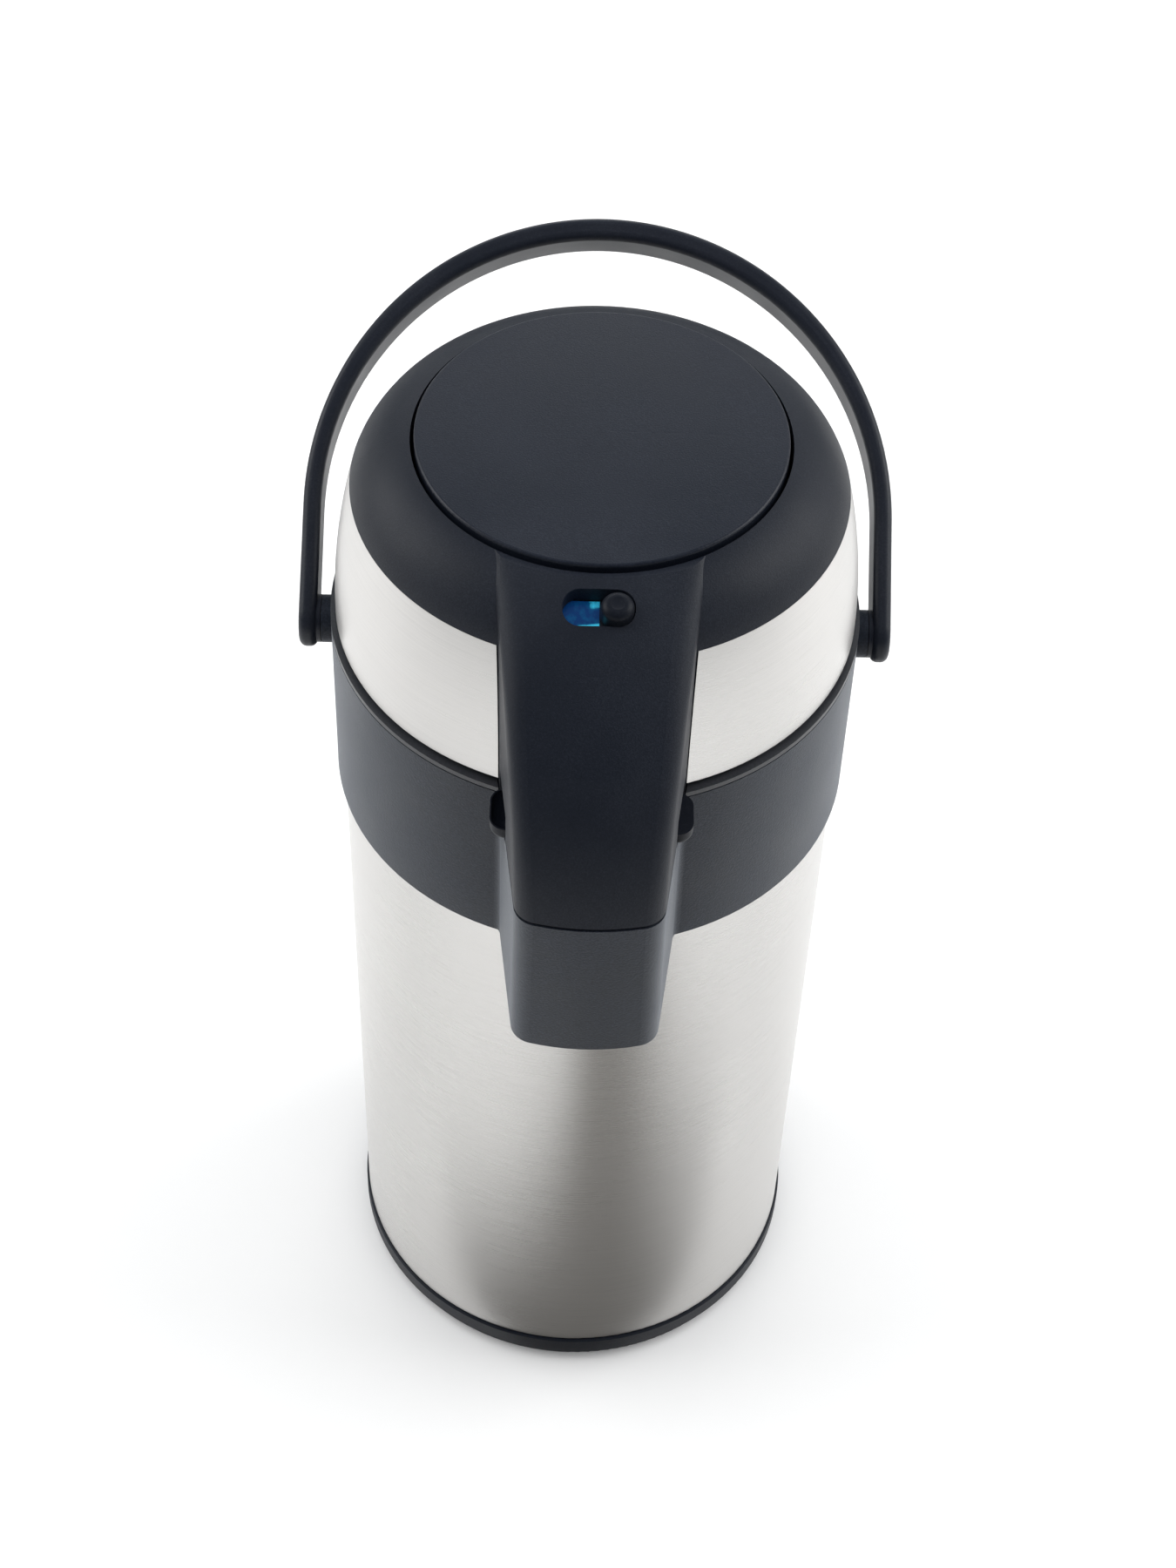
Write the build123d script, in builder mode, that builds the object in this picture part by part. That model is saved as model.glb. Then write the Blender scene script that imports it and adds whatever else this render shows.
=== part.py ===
from build123d import *
import math
import os

os.makedirs("parts", exist_ok=True)

# An airpot: a push-button pump flask. Millimetres, +Z up, the spout points to -Y,
# and the origin is the centre of the footprint on the table.

# Clearances and walls used all over
running_gap = 0.4
seat_gap = 0.2
pivot_clearance = 0.05
moulded_wall = 2.3
steel_wall = 0.8
overcut = 1.0
edge_tolerance = 0.01

# Turntable and base
pad_inset = 7.7
pad_thickness = 1.0
turntable_inset = 0.9
turntable_thickness = 3.0
turntable_edge_round = 1.0
slip_ring_radius = 52.0
slip_ring_width = 5.0
slip_ring_thickness = 0.5
swivel_hub_radius = 12.0
base_height = 8.4
base_floor = 2.1
base_lip = 0.8
base_lip_round = 0.45
base_foot_inset = 1.2
base_spigot_height = 7.0
base_spigot_wall = 2.0
swivel_washer_radius = 18.0
swivel_washer_thickness = 1.2
swivel_screw_radius = 2.0
swivel_screw_head_radius = 4.5
swivel_screw_head_height = 2.2
swivel_screw_length = 7.0

# Steel vessel
body_radius = 75.0
body_height = 239.1
body_edge_round = 1.0
shoulder_rise = 20.0
neck_height = 14.0
neck_radius = 40.0
neck_gap = 4.0
shoulder_round = 12.0
neck_round = 6.0
vacuum_gap = 5.0
vacuum_top_gap = 4.0
bottom_cap_rise = 11.1
bottom_cap_rim = 6.0
flask_floor_rise = 6.0
flask_floor_round = 18.0

# Collar
collar_lap = 9.6
collar_proud = 2.1
collar_draft = 0.3
collar_skirt_gap = 0.2
collar_wall = 2.4
collar_shelf_rise = 10.0
collar_rim_height = 16.9
funnel_rise = 3.6
funnel_thickness = 2.4
window_side_wall = 4.0
window_depth = 12.0

# Beak of the lid and spout housing of the collar: one plan outline, 7 degree taper
beak_reach = 45.0
beak_half_width_at_axis = 34.4
beak_taper = 0.1228
beak_front_bow = 67.0
beak_corner = 7.0
beak_top_corner = 12.0
beak_parting_gap = 0.9
spout_lift = 0.6
spout_draft = 5.1
spout_floor = 2.3
spout_flare = 3.0

# Outlet pipe, suction tube and nozzle
tube_radius = 4.5
tube_bore = 3.4
tube_from_mouth_wall = 9.0
suction_lift = 4.0
tube_joint_drop = 5.0
pipe_rise = 9.0
pipe_first_bend = 7.5
pipe_second_bend = 10.0
nozzle_setback = 18.0
nozzle_radius = 6.5
nozzle_bore = 3.5
nozzle_length = 16.0
nozzle_lip = 3.0
nozzle_socket_depth = 7.0
nozzle_flange_radius = 9.0
nozzle_flange = 1.8
nozzle_hole_gap = 0.3
packing_thickness = 1.5

# Mouth ring and its gasket
mouth_gasket_thickness = 1.0
mouth_gasket_inset = 0.5
mouth_ring_reach = 12.0
mouth_ring_flange = 2.5
mouth_ring_web = 3.3
mouth_ring_wall = 4.0
fill_hole_y = 9.0
fill_hole_radius = 23.0
tube_boss_radius = 7.0
tube_boss_length = 11.0
ring_screw_count = 3
ring_screw_radius = 1.5
ring_screw_head_radius = 2.7
ring_screw_head_height = 1.5
ring_screw_length = 4.5

# Lid: steel band, black dome and hole for the button
band_step = 1.5
band_rise = 4.3
band_height = 45.5
band_bulge_height = 23.8
band_bulge_inset = 1.6
band_top_inset = 5.7
dome_rise = 16.0
dome_middle_rise = 10.2
dome_middle_inset = 6.5
dome_middle_wall = 1.9
lid_parting_gap = 0.4
lid_skirt_wall = 2.4
guide_tube_wall = 2.2
guide_tube_length = 23.3
beak_rise = 0.3
beak_seam = 0.3
beak_root_gap = 0.4
beak_root_depth = 13.0
beak_hollow_gap = 4.5
beak_arc_radius = 97.0
beak_arc_sections = 7

# Lid base, stopper and gasket
lid_base_thickness = 2.0
lid_rim_height = 1.6
lid_groove_depth = 1.3
lid_front_gap = 1.5
lid_front_land = 5.0
stopper_margin = 4.5
stopper_bore = 18.0
stopper_floor = 2.0
lid_gasket_thickness = 1.2
lid_gasket_width = 4.0
valve_flap_radius = 9.0
valve_flap_thickness = 0.8
valve_stem_radius = 1.2
valve_knob_radius = 2.0
valve_port_circle = 5.0
valve_port_radius = 1.2
valve_port_count = 6
valve_knob_height = 1.5
intake_port_circle = 4.5
lid_screw_inset = 6.0
lid_screw_count = 4
lid_screw_radius = 1.8
lid_screw_head_radius = 3.4
lid_screw_head_height = 1.4
lid_screw_length = 12.0
lid_boss_radius = 4.6
lid_boss_height = 20.0
lid_screw_recess = 1.0

# Lid hinge at the back
hinge_overhang = 6.2
hinge_knuckle_radius = 5.0
hinge_pin_radius = 2.0
hinge_knuckle_length = 17.4
hinge_ear_length = 8.0
hinge_side_gap = 0.4
hinge_brace = 0.8
hinge_brace_depth = 4.0

# Pump: button, pressure plate, bellows, spring
button_inset = 23.5
button_side_gap = 1.1
button_rise = 1.8
button_crown = 0.7
button_crown_share = 0.75
button_thickness = 2.5
button_skirt_wall = 2.0
button_height = 27.2
button_lip_height = 1.7
button_lip_reach = 1.6
button_edge_round = 0.8
plate_overhang = 2.0
plate_thickness = 2.0
plate_drop = 3.0
plate_rim = 3.0
bellows_side_gap = 8.5
bellows_fold_depth = 7.0
bellows_wall = 1.0
bellows_folds = 5
bellows_cuff = 4.0
spring_side_gap = 13.0
spring_wire = 0.9
spring_turns = 6
intake_flap_radius = 7.0
button_screw_inset = 8.0
button_screw_count = 3
button_screw_radius = 1.5
button_screw_head_radius = 3.0
button_screw_head_height = 1.4
button_screw_length = 3.6
button_boss_radius = 4.0

# Lock slide in the beak, in a plane that leans forward
lock_setback = 9.2
lock_drop = 6.7
lock_lean = 12.0
lock_slot_length = 19.2
lock_slot_width = 9.8
lock_slot_corner = 4.6
lock_travel = 9.6
lock_knob_x = 4.8
lock_knob_radius = 4.4
lock_knob_height = 6.9
lock_knob_round = 2.4
lock_knob_dish = 7.0
lock_dish_depth = 0.3
lock_plate_thickness = 1.6
lock_lens_thickness = 1.2
lock_lens_end = 0.2
lock_overlap = 0.8
lock_guide_thickness = 1.4
lock_rail_width = 1.5
lock_pad_drop = 2.3
lock_rib_front_top = 0.5
lock_rib_rear_top = 2.0
lock_rib_height = 4.0
lock_rib_end_gap = 2.0
lock_channel_top = 0.35

# Release lever with one tab on each side of the beak
tab_outer = 27.7
tab_inset = 3.8
tab_length = 15.0
tab_drop = 2.1
tab_height = 4.8
tab_corner = 4.5
tab_rim = 0.4
tab_dish_depth = 3.0
tab_dish_slopes = ((0.0, 0.0), (0.6, 1.2), (0.9, 2.6), (1.0, 4.2))
tab_raise_x = 20.5
tab_dish_x = 21.2
tab_corner_share = 0.8
tab_slot_centre = 23.0
tab_slot_half = 8.0
tab_slot_height = 6.9
tab_slot_front_gap = 1.3
tab_slot_back_gap = 0.6
tab_notch_half = 5.0
tab_notch_front_gap = 0.7
tab_notch_back_gap = 0.9
arm_length = 7.0
arm_step = 1.0
arm_shoulder = 0.5
release_pin_setback = 13.0
release_pin_radius = 1.5
release_hub_radius = 3.4
release_hub_gap = 0.3
release_arm_inner = 9.0
release_arm_outer = 14.0
release_ear_width = 3.0
release_ear_half = 4.0
release_side_gap = 0.6
release_spring_radius = 2.5
release_spring_wire = 0.35
release_spring_turns = 8
release_spring_length = 12.0
lever_plate_thickness = 3.2
lever_plate_round = 2.4
hook_setback = 1.6
hook_depth = 8.5
hook_thickness = 2.6
catch_gap = 0.6
catch_thickness = 2.2

# Bail handle
bail_lean = 56.9
bail_pivot_drop = 7.9
bail_side_gap = 4.1
bail_strap = 5.3
bail_grip_swell = 1.3
bail_arm_length = 33.0
bail_arch_height = 89.2
bail_end_radius = 8.3
bail_tip_width = 13.6
bail_boss_radius = 7.0
bail_split_gap = 3.0
bail_stub_radius = 3.5
bail_stub_length = 8.8
bail_boss_margin = 1.0
bail_edge_round = 2.2
half_turn = 180

# Heights worked out from the sizes above, from the table upwards
pad_top_z = pad_thickness
turntable_top_z = pad_top_z + turntable_thickness
base_underside_z = turntable_top_z + slip_ring_thickness
base_floor_top_z = base_underside_z + base_floor
washer_z = base_floor_top_z + running_gap
washer_top_z = washer_z + swivel_washer_thickness
body_bottom_z = base_underside_z + base_height
bottom_cap_z = body_bottom_z + bottom_cap_rise
flask_floor_z = bottom_cap_z + flask_floor_rise
shoulder_z = body_bottom_z + body_height
neck_base_z = shoulder_z + shoulder_rise
mouth_z = neck_base_z + neck_height
collar_bottom_z = shoulder_z - collar_lap
collar_shelf_z = shoulder_z + collar_shelf_rise
parting_z = mouth_z + collar_rim_height
funnel_edge_z = mouth_z + funnel_rise
funnel_floor_z = mouth_z
funnel_under_z = funnel_floor_z - funnel_thickness
ring_bottom_z = funnel_floor_z
ring_web_bottom_z = mouth_z + mouth_gasket_thickness
ring_top_z = ring_web_bottom_z + mouth_ring_web
spout_bottom_z = collar_bottom_z + spout_lift
spout_floor_top_z = spout_bottom_z + spout_floor
nozzle_tip_z = spout_bottom_z - nozzle_lip
nozzle_top_z = nozzle_tip_z + nozzle_length
pipe_end_z = nozzle_top_z - nozzle_socket_depth
pipe_z = mouth_z + pipe_rise
tube_joint_z = mouth_z - tube_joint_drop
tube_boss_bottom_z = tube_joint_z - tube_boss_length
suction_foot_z = flask_floor_z + suction_lift
lid_bottom_z = parting_z + lid_parting_gap
lid_floor_z = lid_bottom_z + lid_base_thickness
beak_bottom_z = parting_z + beak_parting_gap
hinge_z = parting_z
gasket_z = ring_top_z + seat_gap
stopper_bottom_z = gasket_z + lid_gasket_thickness
band_bottom_z = parting_z + band_rise
band_middle_z = band_bottom_z + band_bulge_height
band_top_z = band_bottom_z + band_height
dome_middle_z = band_top_z + dome_middle_rise
dome_hole_z = band_top_z + dome_rise
guide_tube_bottom_z = dome_hole_z - guide_tube_length
beak_top_z = dome_hole_z + beak_rise
button_top_z = dome_hole_z + button_rise
button_skirt_bottom_z = button_top_z - button_height
button_under_z = button_top_z - button_thickness
plate_top_z = button_under_z - plate_drop
plate_bottom_z = plate_top_z - plate_thickness
lock_plane_z = beak_top_z - lock_drop
lock_pad_z = lock_plane_z - lock_pad_drop
tab_bottom_z = parting_z - tab_drop
tab_top_z = tab_bottom_z + tab_height
tab_slot_top_z = tab_top_z + tab_slot_height
catch_top_z = tab_bottom_z - tab_height
release_pin_z = lid_floor_z + release_hub_radius + release_hub_gap
bail_pivot_z = parting_z - bail_pivot_drop

# Heights in the leaning plane of the lock
lock_lens_top = 0.0
lock_plate_top = lock_lens_top - lock_lens_thickness
lock_plate_bottom = lock_plate_top - lock_plate_thickness
lock_guide_top = lock_plate_bottom - running_gap

# Radii and places worked out from the sizes above, from the vessel outwards
flask_radius = body_radius - vacuum_gap
mouth_radius = neck_radius - neck_gap
base_ring_radius = body_radius + base_lip
base_foot_radius = base_ring_radius - base_foot_inset
turntable_radius = base_foot_radius - turntable_inset
pad_radius = turntable_radius - pad_inset
collar_bottom_radius = body_radius + collar_proud
collar_top_radius = collar_bottom_radius - collar_draft
mouth_ring_radius = neck_radius + mouth_ring_reach
funnel_flat_radius = mouth_ring_radius
mouth_ring_wall_radius = neck_radius + mouth_ring_wall
ring_screw_circle = (mouth_ring_radius + mouth_ring_wall_radius) / 2
stopper_radius = fill_hole_radius + stopper_margin
band_bottom_radius = collar_top_radius - band_step
band_middle_radius = band_bottom_radius - band_bulge_inset
band_top_radius = band_bottom_radius - band_top_inset
dome_middle_radius = band_top_radius - dome_middle_inset
button_radius = body_radius - button_inset
dome_hole_radius = button_radius + button_side_gap
bellows_radius = button_radius - bellows_side_gap
spring_radius = bellows_radius - spring_side_gap
button_screw_circle = spring_radius - button_screw_inset
lid_groove_radius = band_bottom_radius - lid_groove_depth
lid_screw_circle = lid_groove_radius - lid_screw_inset
button_lip_radius = dome_hole_radius + button_lip_reach
plate_radius = bellows_radius + plate_overhang
bellows_waist = bellows_radius - bellows_fold_depth
hinge_y = collar_top_radius + hinge_overhang
beak_front_y = -(body_radius + beak_reach)
spout_bottom_front_y = beak_front_y + spout_draft
nozzle_y = beak_front_y + nozzle_setback
tube_y = -(mouth_radius - tube_from_mouth_wall)
beak_root_y = -(dome_hole_radius + beak_root_gap)
beak_back_y = beak_root_y + beak_root_depth
beak_hollow_back_y = beak_root_y - beak_hollow_gap
lock_centre_y = beak_root_y - lock_setback
tab_back_y = -(collar_top_radius - tab_inset)
tab_front_y = tab_back_y - tab_length
tab_middle_y = (tab_front_y + tab_back_y) / 2
arm_front_y = tab_back_y - arm_length
release_pin_y = tab_back_y + release_pin_setback
release_ear_front_y = release_pin_y - release_ear_half
release_ear_back_y = release_pin_y + release_ear_half
hook_back_y = tab_back_y - hook_setback
lid_front_cut_y = tab_back_y + lid_front_gap
lid_cut_back_y = lid_front_cut_y + lid_front_land
bail_inner_width = collar_top_radius + bail_side_gap
bail_half_width = bail_inner_width + bail_strap
bail_split_x = collar_top_radius + bail_split_gap
bail_stub_end_x = bail_split_x - bail_stub_length
collar_boss_end_x = bail_stub_end_x - bail_boss_margin
pin_hole_radius = bail_stub_radius + pivot_clearance


def revolved(points, how=Mode.ADD):
    """Adds or cuts a turned shape: the closed outline is given as (radius, height) pairs."""
    with BuildSketch(Plane.XZ) as section:
        with BuildLine():
            Polyline(*points, close=True)
        make_face()
    revolve(section.sketch, axis=Axis.Z, mode=how)


def bottle(radius, floor, shoulder, neck, neck_base, top, floor_round, wall_mode=Mode.ADD):
    """Adds or cuts a solid bottle with a rounded floor and a sloping shoulder."""
    with BuildSketch(Plane.XZ) as section:
        with BuildLine():
            FilletPolyline(
                (0, floor),
                (radius, floor),
                (radius, shoulder),
                (neck, neck_base),
                (neck, top),
                radius=[floor_round, shoulder_round, neck_round],
            )
            Polyline((neck, top), (0, top), (0, floor))
        make_face()
    revolve(section.sketch, axis=Axis.Z, mode=wall_mode)


def half_width(y):
    """Half width of the beak and of the spout housing at a distance along Y."""
    return beak_half_width_at_axis + beak_taper * y


def beak_outline(front_y, inset=0.0, back_y=beak_back_y, corner_radius=beak_corner):
    """Plan outline of the beak: tapered sides, round corners and a slightly bowed front."""
    front = front_y + inset
    side_front = half_width(front_y) - inset
    side_back = half_width(back_y) - inset
    bow = beak_front_bow - inset
    sag = bow - math.sqrt(bow**2 - side_front**2)
    with BuildLine() as outline:
        Line((-side_back, back_y), (-side_front, front + sag))
        ThreePointArc((-side_front, front + sag), (0, front), (side_front, front + sag))
        Line((side_front, front + sag), (side_back, back_y))
        Line((side_back, back_y), (-side_back, back_y))
    make_face(outline.edges())
    fillet(vertices().group_by(Axis.Y)[0], radius=corner_radius - inset)


def beak_corner_at(z):
    """Corner radius of the beak at a height: the shoulders grow rounder towards the top."""
    share = (z - lid_bottom_z) / (beak_top_z - lid_bottom_z)
    return beak_corner + (beak_top_corner - beak_corner) * share**4


def beak_profile(z, inset=0.0):
    """Y of the beak's top surface at a height: one arc from the dome down to the parting."""
    drop = beak_top_z - lid_bottom_z
    reach = beak_root_y - beak_front_y
    chord = math.hypot(drop, reach)
    rise = math.sqrt(beak_arc_radius**2 - (chord / 2) ** 2)
    centre_y = (beak_root_y + beak_front_y) / 2 + rise * drop / chord
    centre_z = (beak_top_z + lid_bottom_z) / 2 - rise * reach / chord
    return centre_y - math.sqrt((beak_arc_radius - inset) ** 2 - (z - centre_z) ** 2)


def ring_points(inner, outer, low, high):
    """Section of a plain ring, as (radius, height) pairs."""
    return [(inner, low), (outer, low), (outer, high), (inner, high)]


def box_between(low, high, how=Mode.ADD):
    """Adds or cuts the box between two corners."""
    size = [high[i] - low[i] for i in range(3)]
    centre = tuple((high[i] + low[i]) / 2 for i in range(3))
    with Locations(centre):
        Box(*size, mode=how)


def x_cylinder(radius, y, z, x_low, x_high, how=Mode.ADD):
    """Adds or cuts a round bar along X."""
    with BuildSketch(Plane.YZ.offset(x_low)) as section:
        with Locations((y, z)):
            Circle(radius)
    extrude(section.sketch, amount=x_high - x_low, mode=how)


def screw(radius, head_radius, head_height, length, seat_z, up=True):
    """A pan head screw whose head rests on seat_z and whose shank points up or down."""
    turn = 1 if up else -1
    head_centre = seat_z - turn * head_height / 2
    shank_centre = seat_z + turn * length / 2
    with Locations((0, 0, head_centre)):
        Cylinder(head_radius, head_height)
    with Locations((0, 0, shank_centre)):
        Cylinder(radius, length)


# Turntable that the pot stands and turns on
with BuildPart() as turntable:
    revolved(
        [
            (swivel_screw_radius, pad_top_z),
            (turntable_radius, pad_top_z),
            (turntable_radius, turntable_top_z),
            (swivel_hub_radius, turntable_top_z),
            (swivel_hub_radius, washer_z),
            (swivel_screw_radius, washer_z),
        ]
    )
    bottom_edge = edges().filter_by(GeomType.CIRCLE).group_by(Axis.Z)[0].sort_by(SortBy.RADIUS)[-1]
    fillet(bottom_edge, radius=turntable_edge_round)
turntable.part.label = "turntable"
export_step(turntable.part, "parts/turntable.step")

# Rubber pad that the pot rests on, bonded under the turntable
with BuildPart() as turntable_pad:
    with Locations((0, 0, pad_thickness / 2)):
        Cylinder(pad_radius, pad_thickness)
turntable_pad.part.label = "turntable_pad"
export_step(turntable_pad.part, "parts/turntable_pad.step")

# Slip ring between the turntable and the base
with BuildPart() as slip_ring:
    with Locations((0, 0, turntable_top_z + slip_ring_thickness / 2)):
        Cylinder(slip_ring_radius + slip_ring_width / 2, slip_ring_thickness)
        Cylinder(slip_ring_radius - slip_ring_width / 2, slip_ring_thickness, mode=Mode.SUBTRACT)
slip_ring.part.label = "slip_ring"
export_step(slip_ring.part, "parts/slip_ring.step")

# Washer and screw that keep the turntable on the base
with BuildPart() as swivel_washer:
    with Locations((0, 0, washer_z + swivel_washer_thickness / 2)):
        Cylinder(swivel_washer_radius, swivel_washer_thickness)
        Cylinder(swivel_screw_radius + pivot_clearance, swivel_washer_thickness, mode=Mode.SUBTRACT)
swivel_washer.part.label = "swivel_washer"
export_step(swivel_washer.part, "parts/swivel_washer.step")

with BuildPart() as swivel_screw:
    screw(
        swivel_screw_radius - pivot_clearance,
        swivel_screw_head_radius,
        swivel_screw_head_height,
        swivel_screw_length,
        washer_top_z,
        up=False,
    )
swivel_screw.part.label = "swivel_screw"
export_step(swivel_screw.part, "parts/swivel_screw.step")

# Base ring with its floor, pushed into the foot of the steel body
base_spigot_radius = body_radius - steel_wall - seat_gap / 2
with BuildPart() as base_ring:
    revolved(
        [
            (swivel_hub_radius + running_gap, base_underside_z),
            (base_foot_radius, base_underside_z),
            (base_ring_radius, base_floor_top_z),
            (base_ring_radius, body_bottom_z - base_lip_round),
            (base_ring_radius - base_lip_round, body_bottom_z),
            (base_spigot_radius, body_bottom_z),
            (base_spigot_radius, body_bottom_z + base_spigot_height),
            (base_spigot_radius - base_spigot_wall, body_bottom_z + base_spigot_height),
            (base_spigot_radius - base_spigot_wall, base_floor_top_z),
            (swivel_hub_radius + running_gap, base_floor_top_z),
        ]
    )
base_ring.part.label = "base_ring"
export_step(base_ring.part, "parts/base_ring.step")

# Outer wall of the vessel: the brushed body, its shoulder and its neck
with BuildPart() as outer_body:
    bottle(
        body_radius,
        body_bottom_z,
        shoulder_z,
        neck_radius,
        neck_base_z,
        mouth_z - steel_wall,
        body_edge_round,
    )
    bottle(
        body_radius - steel_wall,
        body_bottom_z - overcut,
        shoulder_z,
        neck_radius - steel_wall,
        neck_base_z - steel_wall,
        mouth_z,
        body_edge_round / 2,
        wall_mode=Mode.SUBTRACT,
    )
outer_body.part.label = "outer_body"
export_step(outer_body.part, "parts/outer_body.step")

# Steel cap that closes the outer wall from below
cap_radius = body_radius - steel_wall - seat_gap / 4
with BuildPart() as bottom_cap:
    revolved(
        [
            (0, bottom_cap_z),
            (cap_radius - steel_wall, bottom_cap_z),
            (cap_radius - steel_wall, bottom_cap_z - bottom_cap_rim / 2),
            (cap_radius, bottom_cap_z - bottom_cap_rim / 2),
            (cap_radius, bottom_cap_z + steel_wall),
            (0, bottom_cap_z + steel_wall),
        ]
    )
bottom_cap.part.label = "bottom_cap"
export_step(bottom_cap.part, "parts/bottom_cap.step")

# Inner wall of the vessel, with a lip that closes the vacuum gap at the mouth
with BuildPart() as inner_flask:
    bottle(
        flask_radius,
        flask_floor_z,
        shoulder_z - vacuum_top_gap,
        mouth_radius + steel_wall,
        neck_base_z - vacuum_top_gap,
        mouth_z - steel_wall / 2,
        flask_floor_round,
    )
    with Locations((0, 0, mouth_z - steel_wall / 2)):
        Cylinder(neck_radius, steel_wall)
    bottle(
        flask_radius - steel_wall,
        flask_floor_z + steel_wall,
        shoulder_z - vacuum_top_gap,
        mouth_radius,
        neck_base_z - vacuum_top_gap - steel_wall,
        mouth_z + steel_wall,
        flask_floor_round - steel_wall,
        wall_mode=Mode.SUBTRACT,
    )
inner_flask.part.label = "inner_flask"
export_step(inner_flask.part, "parts/inner_flask.step")

# Collar: skirt, funnel floor, spout housing, bail bosses and hinge ears
collar_bore = body_radius + collar_skirt_gap
collar_inner = collar_top_radius - collar_wall
window_half = half_width(-collar_top_radius) - moulded_wall - window_side_wall
cavity_back = -collar_top_radius
housing_back = collar_bore + running_gap
ear_start = hinge_knuckle_length / 2 + hinge_side_gap
with BuildPart() as collar:
    with BuildSketch(Plane.XY.offset(spout_bottom_z)):
        beak_outline(spout_bottom_front_y)
    with BuildSketch(Plane.XY.offset(parting_z)):
        beak_outline(beak_front_y)
    loft(ruled=True)
    revolved(
        [
            (0, collar_bottom_z - overcut),
            (housing_back, collar_bottom_z - overcut),
            (housing_back, parting_z + overcut),
            (0, parting_z + overcut),
        ],
        how=Mode.SUBTRACT,
    )
    revolved(
        [
            (collar_bore, collar_bottom_z),
            (collar_bottom_radius, collar_bottom_z),
            (collar_top_radius, parting_z),
            (collar_inner, parting_z),
            (collar_inner, funnel_edge_z),
            (funnel_flat_radius, funnel_floor_z),
            (neck_radius + seat_gap, funnel_floor_z),
            (neck_radius + seat_gap, funnel_under_z),
            (funnel_flat_radius, funnel_under_z),
            (collar_inner, funnel_edge_z - funnel_thickness),
            (collar_bore, collar_shelf_z),
        ]
    )
    # Flared corners where the spout housing leaves the skirt
    flare_x = half_width(-collar_top_radius)
    flare_z = (parting_z + spout_bottom_z) / 2
    flares = [
        e
        for e in edges()
        if abs(abs(e.center().X) - flare_x) < spout_flare / 2
        and abs(e.center().Y + collar_top_radius) < 2 * spout_flare
        and abs(e.center().Z - flare_z) < 2 * spout_flare
    ]
    fillet(flares, radius=spout_flare)
    for side in (-1, 1):
        boss_end = side * (bail_split_x - seat_gap / 2)
        x_cylinder(bail_boss_radius, 0, bail_pivot_z, side * collar_boss_end_x, boss_end)
        x_cylinder(
            pin_hole_radius,
            0,
            bail_pivot_z,
            side * (collar_boss_end_x - overcut),
            side * (bail_split_x + overcut),
            how=Mode.SUBTRACT,
        )
        with BuildSketch(Plane.YZ.offset(side * ear_start)):
            with Locations((hinge_y, hinge_z)):
                Circle(hinge_knuckle_radius)
            with BuildLine():
                Polyline(
                    (collar_inner + seat_gap, hinge_z),
                    (hinge_y + hinge_knuckle_radius, hinge_z),
                    (hinge_y + hinge_knuckle_radius * hinge_brace, hinge_z - hinge_knuckle_radius / 2),
                    (collar_inner + seat_gap, hinge_z - hinge_brace_depth * hinge_knuckle_radius),
                    close=True,
                )
            make_face()
            with Locations((hinge_y, hinge_z)):
                Circle(hinge_pin_radius + pivot_clearance, mode=Mode.SUBTRACT)
        extrude(amount=side * hinge_ear_length)
    # Cavity of the spout housing, its window to the mouth and the nozzle hole
    with BuildSketch(Plane.XY.offset(spout_bottom_z + spout_floor)):
        beak_outline(spout_bottom_front_y, inset=moulded_wall, back_y=cavity_back)
    with BuildSketch(Plane.XY.offset(parting_z)):
        beak_outline(beak_front_y, inset=moulded_wall, back_y=cavity_back)
    loft(ruled=True, mode=Mode.SUBTRACT)
    box_between(
        (-window_half, cavity_back - 2 * overcut, funnel_edge_z + running_gap),
        (window_half, cavity_back + window_depth, parting_z + overcut),
        how=Mode.SUBTRACT,
    )
    with Locations((0, nozzle_y, spout_bottom_z)):
        Cylinder(nozzle_radius + nozzle_hole_gap, 3 * spout_floor, mode=Mode.SUBTRACT)
    # Notches for the release tabs and the two catches for the hooks
    notch_front_y = tab_front_y - tab_notch_front_gap
    notch_back_y = tab_back_y + tab_notch_back_gap
    catch_front_y = hook_back_y + catch_gap
    for side in (-1, 1):
        notch_x = side * tab_slot_centre
        box_between(
            (notch_x - tab_notch_half, notch_front_y, tab_bottom_z - running_gap),
            (notch_x + tab_notch_half, notch_back_y, parting_z + overcut),
            how=Mode.SUBTRACT,
        )
        catch_centre = side * (release_arm_inner + release_arm_outer) / 2
        catch_half = (release_arm_outer - release_arm_inner) / 2
        box_between(
            (catch_centre - catch_half, catch_front_y, funnel_edge_z - overcut),
            (catch_centre + catch_half, catch_front_y + catch_thickness, catch_top_z),
        )
    with PolarLocations(ring_screw_circle, ring_screw_count, start_angle=90):
        with Locations((0, 0, funnel_floor_z)):
            Cylinder(ring_screw_radius + pivot_clearance, 3 * funnel_thickness, mode=Mode.SUBTRACT)
collar.part.label = "collar"
export_step(collar.part, "parts/collar.step")

# Gasket on the rim of the neck
with BuildPart() as neck_gasket:
    revolved(ring_points(mouth_radius + mouth_gasket_inset, neck_radius, mouth_z, ring_web_bottom_z))
neck_gasket.part.label = "neck_gasket"
export_step(neck_gasket.part, "parts/neck_gasket.step")


def water_path(low_z, high_z):
    """Line that the water takes: up beside the mouth, forward, and down to the nozzle."""
    return FilletPolyline(
        (tube_y, low_z),
        (tube_y, pipe_z),
        (nozzle_y, pipe_z),
        (nozzle_y, high_z),
        radius=[pipe_first_bend, pipe_second_bend],
    )


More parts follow.
